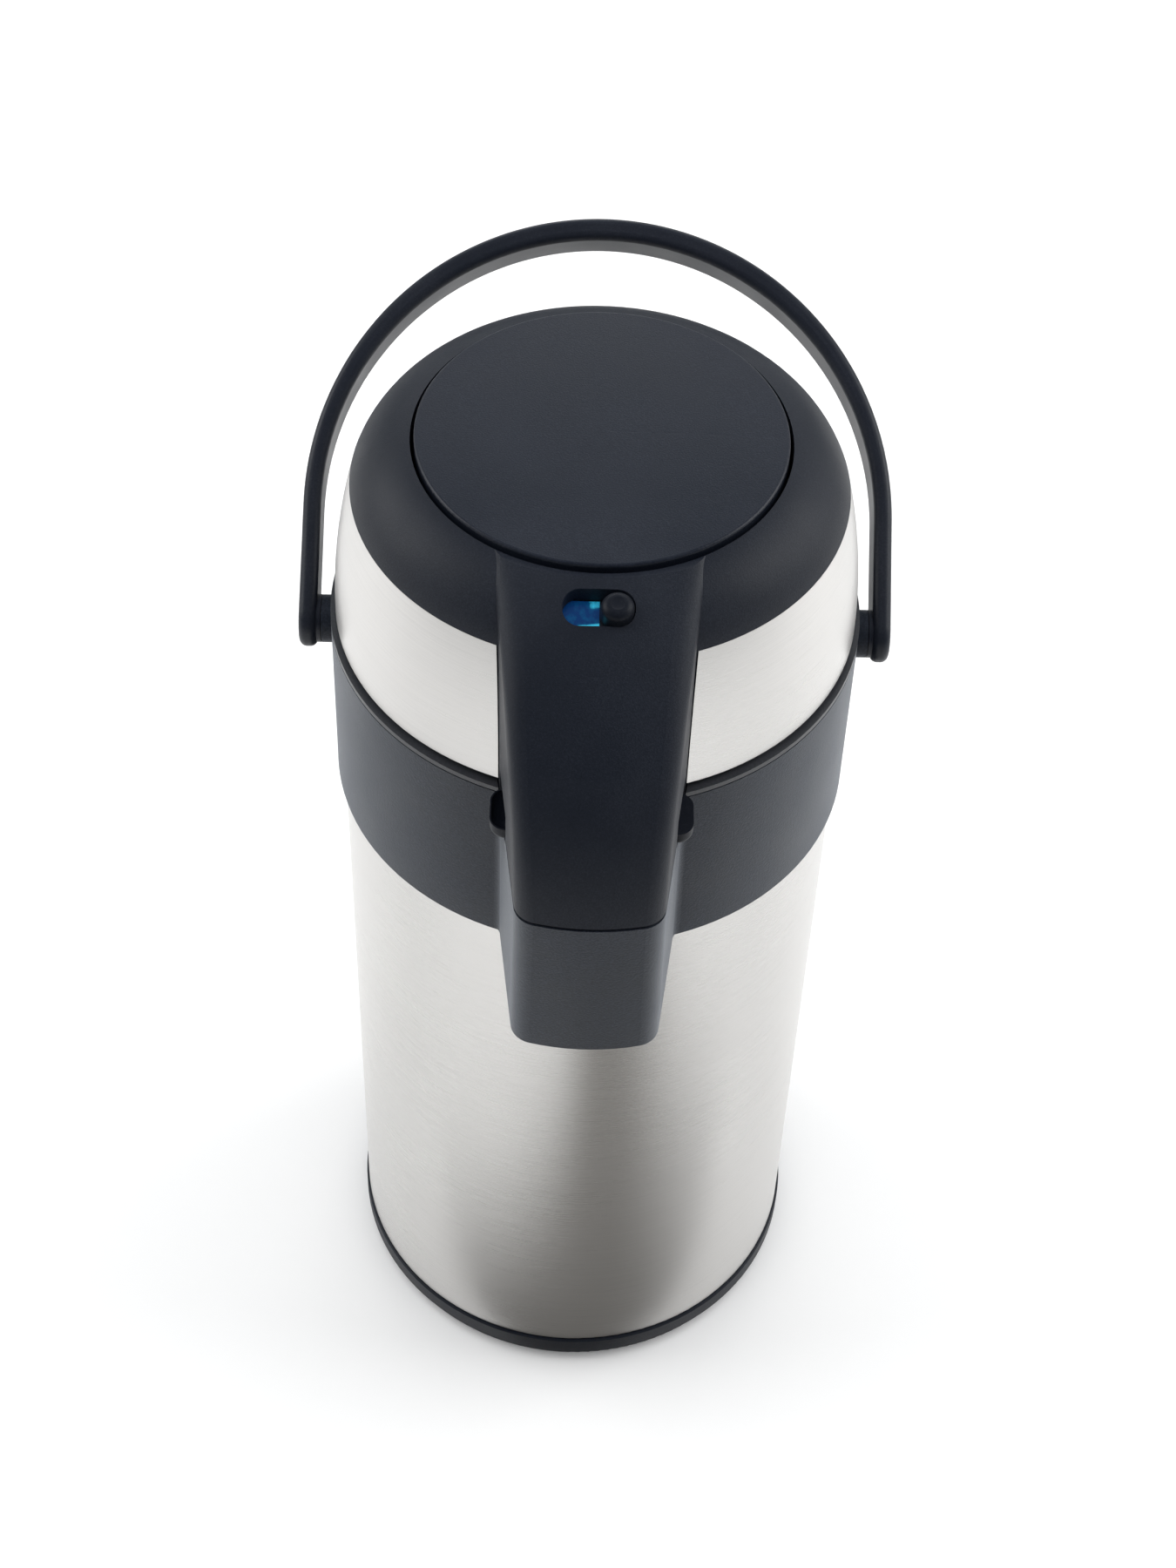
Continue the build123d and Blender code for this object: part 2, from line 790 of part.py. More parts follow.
def water_tube(radius, low_z, end_z, how=Mode.ADD):
    """Adds or cuts a round bar along the path of the water."""
    with BuildLine(Plane.YZ) as route:
        water_path(low_z, end_z)
    with BuildSketch(Plane.XY.offset(low_z)) as section:
        with Locations((0, tube_y)):
            Circle(radius)
    sweep(section.sketch, path=route.line, mode=how)


# Mouth ring with the boss that holds the suction tube
with BuildPart() as mouth_ring:
    revolved(
        [
            (0, ring_web_bottom_z),
            (neck_radius + seat_gap, ring_web_bottom_z),
            (neck_radius + seat_gap, ring_bottom_z),
            (mouth_ring_radius, ring_bottom_z),
            (mouth_ring_radius, ring_bottom_z + mouth_ring_flange),
            (mouth_ring_wall_radius, ring_bottom_z + mouth_ring_flange),
            (mouth_ring_wall_radius, ring_top_z),
            (0, ring_top_z),
        ]
    )
    with Locations((0, fill_hole_y, ring_top_z)):
        Cylinder(fill_hole_radius, 3 * mouth_ring_web, mode=Mode.SUBTRACT)
    with Locations((0, tube_y, (tube_boss_bottom_z + ring_top_z) / 2)):
        Cylinder(tube_boss_radius, ring_top_z - tube_boss_bottom_z)
    with Locations((0, tube_y, tube_boss_bottom_z)):
        Cylinder(
            tube_radius + pivot_clearance,
            2 * (tube_joint_z - tube_boss_bottom_z),
            mode=Mode.SUBTRACT,
        )
    water_tube(tube_radius + pivot_clearance, tube_joint_z - overcut, pipe_end_z, how=Mode.SUBTRACT)
    with PolarLocations(ring_screw_circle, ring_screw_count, start_angle=90):
        with Locations((0, 0, ring_bottom_z)):
            Cylinder(ring_screw_radius + pivot_clearance, 3 * mouth_ring_flange, mode=Mode.SUBTRACT)
mouth_ring.part.label = "mouth_ring"
export_step(mouth_ring.part, "parts/mouth_ring.step")

with BuildPart() as ring_screws:
    with PolarLocations(ring_screw_circle, ring_screw_count, start_angle=90):
        screw(
            ring_screw_radius,
            ring_screw_head_radius,
            ring_screw_head_height,
            ring_screw_length,
            ring_bottom_z + mouth_ring_flange,
            up=False,
        )
ring_screws.part.label = "ring_screws"
export_step(ring_screws.part, "parts/ring_screws.step")

# Suction tube, outlet pipe, their packings and the nozzle
with BuildPart() as suction_tube:
    with BuildSketch(Plane.XY.offset(suction_foot_z)):
        with Locations((0, tube_y)):
            Circle(tube_radius)
            Circle(tube_bore, mode=Mode.SUBTRACT)
    extrude(amount=tube_joint_z - suction_foot_z)
    box_between(
        (-tube_bore, tube_y - 2 * tube_radius, suction_foot_z - overcut),
        (tube_bore, tube_y, suction_foot_z + tube_bore),
        how=Mode.SUBTRACT,
    )
suction_tube.part.label = "suction_tube"
export_step(suction_tube.part, "parts/suction_tube.step")

with BuildPart() as tube_packing:
    with BuildSketch(Plane.XY.offset(tube_boss_bottom_z - packing_thickness)):
        with Locations((0, tube_y)):
            Circle(tube_boss_radius)
            Circle(tube_radius + pivot_clearance, mode=Mode.SUBTRACT)
    extrude(amount=packing_thickness)
tube_packing.part.label = "tube_packing"
export_step(tube_packing.part, "parts/tube_packing.step")

with BuildPart() as outlet_pipe:
    water_tube(tube_radius, tube_joint_z, pipe_end_z)
    water_tube(tube_bore, tube_joint_z, pipe_end_z, how=Mode.SUBTRACT)
outlet_pipe.part.label = "outlet_pipe"
export_step(outlet_pipe.part, "parts/outlet_pipe.step")

with BuildPart() as spout_nozzle:
    with BuildSketch(Plane.XY.offset(nozzle_tip_z)):
        with Locations((0, nozzle_y)):
            Circle(nozzle_radius)
    extrude(amount=nozzle_top_z - nozzle_tip_z)
    with BuildSketch(Plane.XY.offset(spout_floor_top_z)):
        with Locations((0, nozzle_y)):
            Circle(nozzle_flange_radius)
    extrude(amount=nozzle_flange)
    with BuildSketch(Plane.XY.offset(nozzle_tip_z)):
        with Locations((0, nozzle_y)):
            Circle(nozzle_bore)
    extrude(amount=nozzle_top_z - nozzle_tip_z, mode=Mode.SUBTRACT)
    with BuildSketch(Plane.XY.offset(pipe_end_z)):
        with Locations((0, nozzle_y)):
            Circle(tube_radius + pivot_clearance)
    extrude(amount=nozzle_top_z - pipe_end_z, mode=Mode.SUBTRACT)
spout_nozzle.part.label = "spout_nozzle"
export_step(spout_nozzle.part, "parts/spout_nozzle.step")

with BuildPart() as pipe_packing:
    with BuildSketch(Plane.XY.offset(nozzle_top_z)):
        with Locations((0, nozzle_y)):
            Circle(nozzle_radius)
            Circle(tube_radius + pivot_clearance, mode=Mode.SUBTRACT)
    extrude(amount=packing_thickness)
pipe_packing.part.label = "pipe_packing"
export_step(pipe_packing.part, "parts/pipe_packing.step")

# Pin of the lid hinge
hinge_pin_half = ear_start + hinge_ear_length
with BuildPart() as hinge_pin:
    x_cylinder(hinge_pin_radius, hinge_y, hinge_z, -hinge_pin_half, hinge_pin_half)
hinge_pin.part.label = "hinge_pin"
export_step(hinge_pin.part, "parts/hinge_pin.step")

# Bail handle, drawn in the plane that it leans in
lean_sin = math.sin(math.radians(bail_lean))
lean_cos = math.cos(math.radians(bail_lean))
bail_plane = Plane(origin=(0, 0, bail_pivot_z), x_dir=(1, 0, 0), z_dir=(0, -lean_cos, lean_sin))
bail_side_plane = Plane(origin=(0, 0, bail_pivot_z), x_dir=(0, lean_sin, lean_cos), z_dir=(1, 0, 0))
bail_reach = bail_arm_length + bail_arch_height
with BuildPart() as bail:
    with BuildSketch(bail_plane):
        for half, reach, how in (
            (bail_half_width, bail_arch_height, Mode.ADD),
            (bail_inner_width, bail_arch_height - bail_strap - bail_grip_swell, Mode.SUBTRACT),
        ):
            with BuildLine() as outline:
                foot = -2 * bail_end_radius
                Polyline((half, bail_arm_length), (half, foot), (-half, foot), (-half, bail_arm_length))
                EllipticalCenterArc((0, bail_arm_length), half, reach, start_angle=0, arc_size=half_turn)
            make_face(outline.edges(), mode=how)
    extrude(amount=bail_end_radius, both=True)
    with BuildSketch(bail_side_plane):
        Circle(bail_end_radius)
        with Locations((bail_reach + overcut, 0)):
            Rectangle(overcut, bail_tip_width)
        make_hull()
    extrude(amount=bail_half_width + overcut, both=True, mode=Mode.INTERSECT)
    fillet(edges(), radius=bail_edge_round)
    for side in (-1, 1):
        x_cylinder(
            bail_boss_radius,
            0,
            bail_pivot_z,
            side * (bail_split_x + seat_gap / 2),
            side * (bail_inner_width + overcut),
        )
        x_cylinder(
            bail_stub_radius,
            0,
            bail_pivot_z,
            side * bail_stub_end_x,
            side * (bail_inner_width + overcut),
        )
bail.part.label = "bail"
export_step(bail.part, "parts/bail.step")

# Steel band around the lid, open where the beak comes out
with BuildPart() as lid_band:
    with BuildSketch(Plane.XZ):
        with BuildLine():
            ThreePointArc(
                (band_bottom_radius, band_bottom_z),
                (band_middle_radius, band_middle_z),
                (band_top_radius, band_top_z),
            )
            Line((band_top_radius, band_top_z), (band_top_radius - steel_wall, band_top_z))
            ThreePointArc(
                (band_top_radius - steel_wall, band_top_z),
                (band_middle_radius - steel_wall, band_middle_z),
                (band_bottom_radius - steel_wall, band_bottom_z),
            )
            Line((band_bottom_radius - steel_wall, band_bottom_z), (band_bottom_radius, band_bottom_z))
        make_face()
    revolve(axis=Axis.Z)
    with BuildSketch(Plane.XY.offset(lid_bottom_z)):
        with BuildLine():
            Polyline(
                (-half_width(beak_back_y) - seat_gap / 2, beak_back_y),
                (-half_width(beak_front_y) - seat_gap / 2, beak_front_y),
                (half_width(beak_front_y) + seat_gap / 2, beak_front_y),
                (half_width(beak_back_y) + seat_gap / 2, beak_back_y),
                close=True,
            )
        make_face()
    extrude(amount=band_top_z - lid_bottom_z + overcut, mode=Mode.SUBTRACT)
lid_band.part.label = "lid_band"
export_step(lid_band.part, "parts/lid_band.step")

# Lid shell: dome, skirt under the band, guide tube of the button and the hollow beak
skirt_radius = band_bottom_radius - steel_wall - seat_gap / 2
skirt_middle = band_middle_radius - steel_wall - seat_gap / 2
skirt_top = band_top_radius - steel_wall - seat_gap / 2
dome_edge_z = band_top_z + seat_gap / 2
dome_under_z = dome_hole_z - lid_skirt_wall
tube_outer = dome_hole_radius + guide_tube_wall
tilt = math.radians(lock_lean)
lock_plane = Plane(
    origin=(0, lock_centre_y, lock_plane_z),
    x_dir=(1, 0, 0),
    z_dir=(0, -math.sin(tilt), math.cos(tilt)),
)
lock_half_length = lock_slot_length / 2 + lock_overlap
lock_reach = lock_half_length + lock_travel + running_gap
lock_half_width = lock_slot_width / 2 - seat_gap
rib_centre = lock_slot_width / 2 + seat_gap / 2 + lock_rail_width / 2
with BuildPart() as lid_shell:
    with BuildSketch(Plane.XZ):
        with BuildLine():
            Polyline(
                (0, lid_floor_z),
                (lid_groove_radius, lid_floor_z),
                (lid_groove_radius, band_bottom_z),
                (skirt_radius, band_bottom_z),
            )
            ThreePointArc(
                (skirt_radius, band_bottom_z),
                (skirt_middle, band_middle_z),
                (skirt_top, dome_edge_z),
            )
            Line((skirt_top, dome_edge_z), (band_top_radius, dome_edge_z))
            ThreePointArc(
                (band_top_radius, dome_edge_z),
                (dome_middle_radius, dome_middle_z),
                (dome_hole_radius, dome_hole_z),
            )
            Polyline((dome_hole_radius, dome_hole_z), (0, dome_hole_z), (0, lid_floor_z))
        make_face()
    revolve(axis=Axis.Z)
    for i in range(beak_arc_sections):
        share = i / (beak_arc_sections - 1)
        level = beak_bottom_z + (beak_top_z - beak_seam - beak_bottom_z) * share
        with BuildSketch(Plane.XY.offset(level)):
            beak_outline(
                beak_profile(level),
                back_y=beak_back_y + beak_root_depth,
                corner_radius=beak_corner_at(level),
            )
    loft()
    with BuildSketch(Plane.XZ):
        with BuildLine():
            Polyline(
                (0, lid_bottom_z - overcut),
                (skirt_radius - lid_skirt_wall, lid_bottom_z - overcut),
                (skirt_radius - lid_skirt_wall, band_bottom_z),
            )
            ThreePointArc(
                (skirt_radius - lid_skirt_wall, band_bottom_z),
                (skirt_middle - lid_skirt_wall, band_middle_z),
                (skirt_top - lid_skirt_wall, dome_edge_z - overcut),
            )
            ThreePointArc(
                (skirt_top - lid_skirt_wall, dome_edge_z - overcut),
                (dome_middle_radius - dome_middle_wall, dome_middle_z - lid_skirt_wall),
                (tube_outer, dome_under_z),
            )
            Polyline(
                (tube_outer, dome_under_z),
                (tube_outer, guide_tube_bottom_z),
                (dome_hole_radius, guide_tube_bottom_z),
                (dome_hole_radius, beak_top_z + overcut),
                (0, beak_top_z + overcut),
                (0, lid_bottom_z - overcut),
            )
        make_face()
    revolve(axis=Axis.Z, mode=Mode.SUBTRACT)
    # Hollow of the beak, lower than the pad that the lock slides in
    for i in range(beak_arc_sections):
        share = i / (beak_arc_sections - 1)
        level = lid_bottom_z + (lock_pad_z - lid_bottom_z) * share
        with BuildSketch(Plane.XY.offset(level)):
            beak_outline(
                beak_profile(level, inset=moulded_wall) - moulded_wall,
                inset=moulded_wall,
                back_y=beak_hollow_back_y,
                corner_radius=beak_corner_at(level),
            )
    loft(mode=Mode.SUBTRACT)
    # Bosses for the screws that come up through the lid base
    with PolarLocations(lid_screw_circle, lid_screw_count, start_angle=45):
        with Locations((0, 0, lid_floor_z + lid_boss_height / 2)):
            Cylinder(lid_boss_radius, lid_boss_height)
            Cylinder(lid_screw_radius + pivot_clearance, lid_boss_height, mode=Mode.SUBTRACT)
    # Ribs, channel and slot of the lock
    for side, rib_top in ((-1, lock_rib_front_top), (1, lock_rib_rear_top)):
        with BuildSketch(lock_plane.offset(lock_guide_top)):
            with Locations((0, side * rib_centre)):
                Rectangle(2 * (lock_reach - lock_rib_end_gap), lock_rail_width)
        extrude(amount=rib_top - lock_guide_top)
    with BuildSketch(lock_plane.offset(lock_channel_top)):
        Rectangle(2 * lock_reach, lock_slot_width + seat_gap / 2)
    extrude(amount=-2 * lock_rib_height, mode=Mode.SUBTRACT)
    with BuildSketch(lock_plane.offset(lock_guide_top)):
        Rectangle(2 * (lock_reach + running_gap), 2 * (rib_centre + lock_rail_width))
    extrude(amount=-2 * lock_rib_height, mode=Mode.SUBTRACT)
    with BuildSketch(Plane.XY.offset(lock_pad_z)):
        with Locations((0, lock_centre_y)):
            RectangleRounded(lock_slot_length, lock_slot_width, lock_slot_corner)
    extrude(amount=beak_top_z + overcut - lock_pad_z, mode=Mode.SUBTRACT)
    # Openings in the side walls of the beak for the release tabs
    slot_front_y = tab_front_y - tab_slot_front_gap
    slot_back_y = tab_back_y + tab_slot_back_gap
    for side in (-1, 1):
        slot_x = side * tab_slot_centre
        box_between(
            (slot_x - tab_slot_half, slot_front_y, lid_bottom_z - overcut),
            (slot_x + tab_slot_half, slot_back_y, tab_slot_top_z),
            how=Mode.SUBTRACT,
        )
lid_shell.part.label = "lid_shell"
export_step(lid_shell.part, "parts/lid_shell.step")

# Lid base: floor of the lid with its rim, the stopper, the hinge knuckle and the lever ears
with BuildPart() as lid_base:
    revolved(
        [
            (0, lid_bottom_z),
            (collar_top_radius, lid_bottom_z),
            (collar_top_radius, lid_bottom_z + lid_rim_height),
            (lid_groove_radius, lid_bottom_z + lid_rim_height),
            (lid_groove_radius, lid_floor_z),
            (0, lid_floor_z),
        ]
    )
    with BuildSketch(Plane.XY.offset(lid_bottom_z - overcut)):
        beak_outline(beak_front_y - overcut, inset=-seat_gap, back_y=lid_cut_back_y)
    extrude(amount=2 * lid_base_thickness, mode=Mode.SUBTRACT)
    floor_half = half_width(lid_front_cut_y) - moulded_wall - running_gap
    box_between(
        (-floor_half, lid_front_cut_y, lid_bottom_z),
        (floor_half, lid_cut_back_y + overcut, lid_floor_z),
    )
    with Locations((0, fill_hole_y, (stopper_bottom_z + lid_floor_z) / 2)):
        Cylinder(stopper_radius, lid_floor_z - stopper_bottom_z)
    with Locations((0, fill_hole_y, (stopper_bottom_z + stopper_floor + lid_floor_z) / 2)):
        Cylinder(stopper_bore, lid_floor_z - stopper_bottom_z - stopper_floor, mode=Mode.SUBTRACT)
    with Locations((0, fill_hole_y, stopper_bottom_z)):
        Cylinder(valve_stem_radius + pivot_clearance, 3 * stopper_floor, mode=Mode.SUBTRACT)
        with PolarLocations(valve_port_circle, valve_port_count):
            Cylinder(valve_port_radius, 3 * stopper_floor, mode=Mode.SUBTRACT)
    # Knuckle on the hinge pin, and the web to it
    web_half = hinge_knuckle_length / 2
    box_between(
        (-web_half, collar_inner, lid_bottom_z),
        (web_half, hinge_y, hinge_z + hinge_knuckle_radius * hinge_brace),
    )
    x_cylinder(hinge_knuckle_radius, hinge_y, hinge_z, -web_half, web_half)
    x_cylinder(
        hinge_pin_radius + pivot_clearance,
        hinge_y,
        hinge_z,
        -hinge_knuckle_length,
        hinge_knuckle_length,
        how=Mode.SUBTRACT,
    )
    # Ears that carry the pin of the release lever
    ear_inner = release_arm_outer + release_side_gap
    ear_outer = ear_inner + release_ear_width
    for side in (-1, 1):
        ear_x = side * (ear_inner + ear_outer) / 2
        box_between(
            (ear_x - release_ear_width / 2, release_ear_front_y, lid_bottom_z),
            (ear_x + release_ear_width / 2, release_ear_back_y, release_pin_z + release_hub_radius),
        )
        x_cylinder(
            release_pin_radius + pivot_clearance,
            release_pin_y,
            release_pin_z,
            side * (ear_inner - overcut),
            side * (ear_outer + overcut),
            how=Mode.SUBTRACT,
        )
    with PolarLocations(lid_screw_circle, lid_screw_count, start_angle=45):
        with Locations((0, 0, lid_bottom_z)):
            Cylinder(lid_screw_radius + pivot_clearance, 3 * lid_base_thickness, mode=Mode.SUBTRACT)
            Cylinder(lid_screw_head_radius + seat_gap, lid_screw_recess * 2, mode=Mode.SUBTRACT)
lid_base.part.label = "lid_base"
export_step(lid_base.part, "parts/lid_base.step")

lid_screw_seat_z = lid_bottom_z + lid_screw_recess
with BuildPart() as lid_screws:
    with PolarLocations(lid_screw_circle, lid_screw_count, start_angle=45):
        screw(
            lid_screw_radius,
            lid_screw_head_radius,
            lid_screw_head_height,
            lid_screw_length,
            lid_screw_seat_z,
        )
lid_screws.part.label = "lid_screws"
export_step(lid_screws.part, "parts/lid_screws.step")

with BuildPart() as lid_gasket:
    with Locations((0, fill_hole_y, (gasket_z + stopper_bottom_z) / 2)):
        Cylinder(stopper_radius, lid_gasket_thickness)
        Cylinder(stopper_radius - lid_gasket_width, lid_gasket_thickness, mode=Mode.SUBTRACT)
lid_gasket.part.label = "lid_gasket"
export_step(lid_gasket.part, "parts/lid_gasket.step")


def umbrella_valve(y, seat_low_z, seat_high_z, flap_radius):
    """A rubber valve: a flap under the seat, a stem through it and a knob on top."""
    with Locations((0, y, seat_low_z - valve_flap_thickness / 2)):
        Cylinder(flap_radius, valve_flap_thickness)
    with Locations((0, y, (seat_low_z + seat_high_z) / 2)):
        Cylinder(valve_stem_radius, seat_high_z - seat_low_z)
    with Locations((0, y, seat_high_z + valve_knob_height / 2)):
        Cylinder(valve_knob_radius, valve_knob_height)


with BuildPart() as check_valve:
    umbrella_valve(fill_hole_y, stopper_bottom_z, stopper_bottom_z + stopper_floor, valve_flap_radius)
check_valve.part.label = "check_valve"
export_step(check_valve.part, "parts/check_valve.step")

# Pump button and the plate screwed under it
with BuildPart() as pump_button:
    with BuildSketch(Plane.XZ):
        with BuildLine():
            ThreePointArc(
                (0, button_top_z + button_crown),
                (button_radius / 2, button_top_z + button_crown_share * button_crown),
                (button_radius, button_top_z),
            )
            lip_top_z = button_skirt_bottom_z + button_lip_height
            Polyline(
                (button_radius, button_top_z),
                (button_radius, lip_top_z),
                (button_lip_radius, lip_top_z),
                (button_lip_radius, button_skirt_bottom_z),
                (button_radius - button_skirt_wall, button_skirt_bottom_z),
                (button_radius - button_skirt_wall, button_under_z),
                (0, button_under_z),
                (0, button_top_z + button_crown),
            )
        make_face()
    revolve(axis=Axis.Z)
    rim = [
        e
        for e in edges().filter_by(GeomType.CIRCLE)
        if abs(e.center().Z - button_top_z) < edge_tolerance
    ]
    fillet(rim, radius=button_edge_round)
    with PolarLocations(button_screw_circle, button_screw_count, start_angle=90):
        with Locations((0, 0, (plate_top_z + button_under_z) / 2)):
            Cylinder(button_boss_radius, plate_drop)
            Cylinder(button_screw_radius + pivot_clearance, plate_drop, mode=Mode.SUBTRACT)
pump_button.part.label = "pump_button"
export_step(pump_button.part, "parts/pump_button.step")

with BuildPart() as pressure_plate:
    revolved(
        [
            (0, plate_bottom_z),
            (bellows_radius + seat_gap, plate_bottom_z),
            (bellows_radius + seat_gap, plate_bottom_z - plate_rim),
            (plate_radius, plate_bottom_z - plate_rim),
            (plate_radius, plate_top_z),
            (0, plate_top_z),
        ]
    )
    with Locations((0, 0, plate_top_z)):
        Cylinder(valve_stem_radius + pivot_clearance, 3 * plate_thickness, mode=Mode.SUBTRACT)
        with PolarLocations(intake_port_circle, valve_port_count):
            Cylinder(valve_port_radius, 3 * plate_thickness, mode=Mode.SUBTRACT)
        with PolarLocations(button_screw_circle, button_screw_count, start_angle=90):
            Cylinder(button_screw_radius + pivot_clearance, 3 * plate_thickness, mode=Mode.SUBTRACT)
pressure_plate.part.label = "pressure_plate"
export_step(pressure_plate.part, "parts/pressure_plate.step")

with BuildPart() as button_screws:
    with PolarLocations(button_screw_circle, button_screw_count, start_angle=90):
        screw(
            button_screw_radius,
            button_screw_head_radius,
            button_screw_head_height,
            button_screw_length,
            plate_bottom_z,
        )
button_screws.part.label = "button_screws"
export_step(button_screws.part, "parts/button_screws.step")

with BuildPart() as intake_valve:
    umbrella_valve(0, plate_bottom_z, plate_top_z, intake_flap_radius)
intake_valve.part.label = "intake_valve"
export_step(intake_valve.part, "parts/intake_valve.step")

# Bellows, a thin folded wall between the lid base and the pressure plate
fold_pitch = (plate_bottom_z - lid_floor_z - 2 * bellows_cuff) / (2 * bellows_folds)
bellows_points = [(bellows_radius, lid_floor_z), (bellows_radius, lid_floor_z + bellows_cuff)]
for fold in range(bellows_folds):
    fold_z = lid_floor_z + bellows_cuff + 2 * fold * fold_pitch
    bellows_points.append((bellows_waist, fold_z + fold_pitch))
    bellows_points.append((bellows_radius, fold_z + 2 * fold_pitch))
bellows_points.append((bellows_radius, plate_bottom_z))
inner_points = [(r - bellows_wall, z) for r, z in reversed(bellows_points)]
with BuildPart() as bellows:
    revolved(bellows_points + inner_points)
bellows.part.label = "bellows"
export_step(bellows.part, "parts/bellows.step")


def coil_spring(radius, wire, turns, start, direction, length):
    """A round wire wound on a helix between two end planes."""
    run = length - 2 * wire
    first = tuple(start[i] + wire * direction[i] for i in range(3))
    with BuildLine() as coil:
        Helix(pitch=run / turns, height=run, radius=radius, center=first, direction=direction)
    with BuildSketch(Plane(origin=coil.line @ 0, z_dir=coil.line % 0)) as section:
        Circle(wire)
    sweep(section.sketch, path=coil.line, is_frenet=True)


with BuildPart() as pump_spring:
    coil_spring(
        spring_radius,
        spring_wire,
        spring_turns,
        (0, 0, lid_floor_z),
        (0, 0, 1),
        plate_bottom_z - lid_floor_z,
    )
pump_spring.part.label = "pump_spring"
export_step(pump_spring.part, "parts/pump_spring.step")

# Lock: guide plate, slider with its knob, and the coloured window in the slider
with BuildPart() as lock_guide:
    with BuildSketch(lock_plane.offset(lock_guide_top)):
        Rectangle(2 * lock_reach, 2 * rib_centre + lock_rail_width)
    extrude(amount=-lock_guide_thickness)
lock_guide.part.label = "lock_guide"
export_step(lock_guide.part, "parts/lock_guide.step")

lock_left = -lock_half_length
lock_right = lock_half_length + lock_travel - running_gap
with BuildPart() as lock_slider:
    with BuildSketch(lock_plane.offset(lock_plate_bottom)):
        with Locations(((lock_left + lock_right) / 2, 0)):
            Rectangle(lock_right - lock_left, 2 * lock_half_width)
    extrude(amount=lock_plate_thickness)
    with BuildSketch(lock_plane.offset(lock_plate_top)):
        raised_left = lock_lens_end + pivot_clearance
        with Locations(((raised_left + lock_right) / 2, 0)):
            Rectangle(lock_right - raised_left, 2 * lock_half_width)
    extrude(amount=lock_lens_thickness)
    with BuildSketch(lock_plane):
        with Locations((lock_knob_x, 0)):
            Circle(lock_knob_radius)
    extrude(amount=lock_knob_height)
    knob_top = edges().filter_by(GeomType.CIRCLE).sort_by(Axis.Z)[-1]
    fillet(knob_top, radius=lock_knob_round)
    with Locations(lock_plane):
        with Locations((lock_knob_x, 0, lock_knob_height + lock_knob_dish - lock_dish_depth)):
            Sphere(lock_knob_dish, mode=Mode.SUBTRACT)
lock_slider.part.label = "lock_slider"
export_step(lock_slider.part, "parts/lock_slider.step")

with BuildPart() as lock_lens:
    with BuildSketch(lock_plane.offset(lock_plate_top)):
        with Locations(((lock_left + lock_lens_end) / 2, 0)):
            Rectangle(lock_lens_end - lock_left, 2 * lock_half_width)
    extrude(amount=lock_lens_thickness)
lock_lens.part.label = "lock_lens"
export_step(lock_lens.part, "parts/lock_lens.step")

# Release lever: cross plate with a tab on each side, two arms to the pin and two hooks
with BuildPart() as release_lever:
    with BuildSketch(Plane.XY.offset(tab_bottom_z)):
        with Locations((0, tab_middle_y)):
            RectangleRounded(2 * tab_outer, tab_back_y - tab_front_y, tab_corner)
    extrude(amount=lever_plate_thickness)
    fillet(edges().group_by(Axis.Z)[0], radius=lever_plate_round)
    # Raised tabs with a dished top
    for side in (-1, 1):
        with BuildSketch(Plane.XY.offset(tab_bottom_z + lever_plate_round)):
            with Locations((0, tab_middle_y)):
                RectangleRounded(2 * tab_outer, tab_back_y - tab_front_y, tab_corner)
            with Locations((-side * tab_raise_x, tab_middle_y)):
                Rectangle(4 * tab_raise_x, 2 * tab_outer, mode=Mode.SUBTRACT)
        extrude(amount=tab_height - lever_plate_round)
        for share, slope in tab_dish_slopes:
            inset = tab_rim + slope
            with BuildSketch(Plane.XY.offset(tab_top_z - share * tab_dish_depth)):
                with Locations((0, tab_middle_y)):
                    RectangleRounded(
                        2 * (tab_outer - inset),
                        tab_length - 2 * inset,
                        tab_corner - inset * tab_corner_share,
                    )
                with Locations((-side * (tab_dish_x - tab_outer), tab_middle_y)):
                    Rectangle(2 * tab_outer, 2 * tab_outer, mode=Mode.SUBTRACT)
        loft(mode=Mode.SUBTRACT)
        # Arm from the plate to the hub, and the hook under it
        with BuildSketch(Plane.YZ.offset(side * release_arm_inner)):
            with BuildLine() as arm:
                Polyline(
                    (release_pin_y, release_pin_z - release_hub_radius),
                    (tab_back_y, release_pin_z - release_hub_radius),
                    (tab_back_y, tab_bottom_z),
                    (arm_front_y, tab_bottom_z),
                    (arm_front_y, release_pin_z - release_hub_radius + arm_step),
                    (tab_back_y, release_pin_z + arm_shoulder),
                    (release_pin_y, release_pin_z + release_hub_radius),
                    close=True,
                )
            make_face()
            with Locations((release_pin_y, release_pin_z)):
                Circle(release_hub_radius)
                Circle(release_pin_radius + pivot_clearance, mode=Mode.SUBTRACT)
        extrude(amount=side * (release_arm_outer - release_arm_inner))
        hook_centre = side * (release_arm_inner + release_arm_outer) / 2
        hook_half = (release_arm_outer - release_arm_inner) / 2
        box_between(
            (hook_centre - hook_half, hook_back_y - hook_thickness, tab_bottom_z - hook_depth),
            (hook_centre + hook_half, hook_back_y, tab_bottom_z + overcut),
        )
release_lever.part.label = "release_lever"
export_step(release_lever.part, "parts/release_lever.step")

with BuildPart() as release_pin:
    x_cylinder(release_pin_radius, release_pin_y, release_pin_z, -ear_outer, ear_outer)
release_pin.part.label = "release_pin"
export_step(release_pin.part, "parts/release_pin.step")

with BuildPart() as release_spring:
    coil_spring(
        release_spring_radius,
        release_spring_wire,
        release_spring_turns,
        (-release_spring_length / 2, release_pin_y, release_pin_z),
        (1, 0, 0),
        release_spring_length,
    )
release_spring.part.label = "release_spring"
export_step(release_spring.part, "parts/release_spring.step")
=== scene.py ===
import math

import bpy
from mathutils import Matrix, Vector


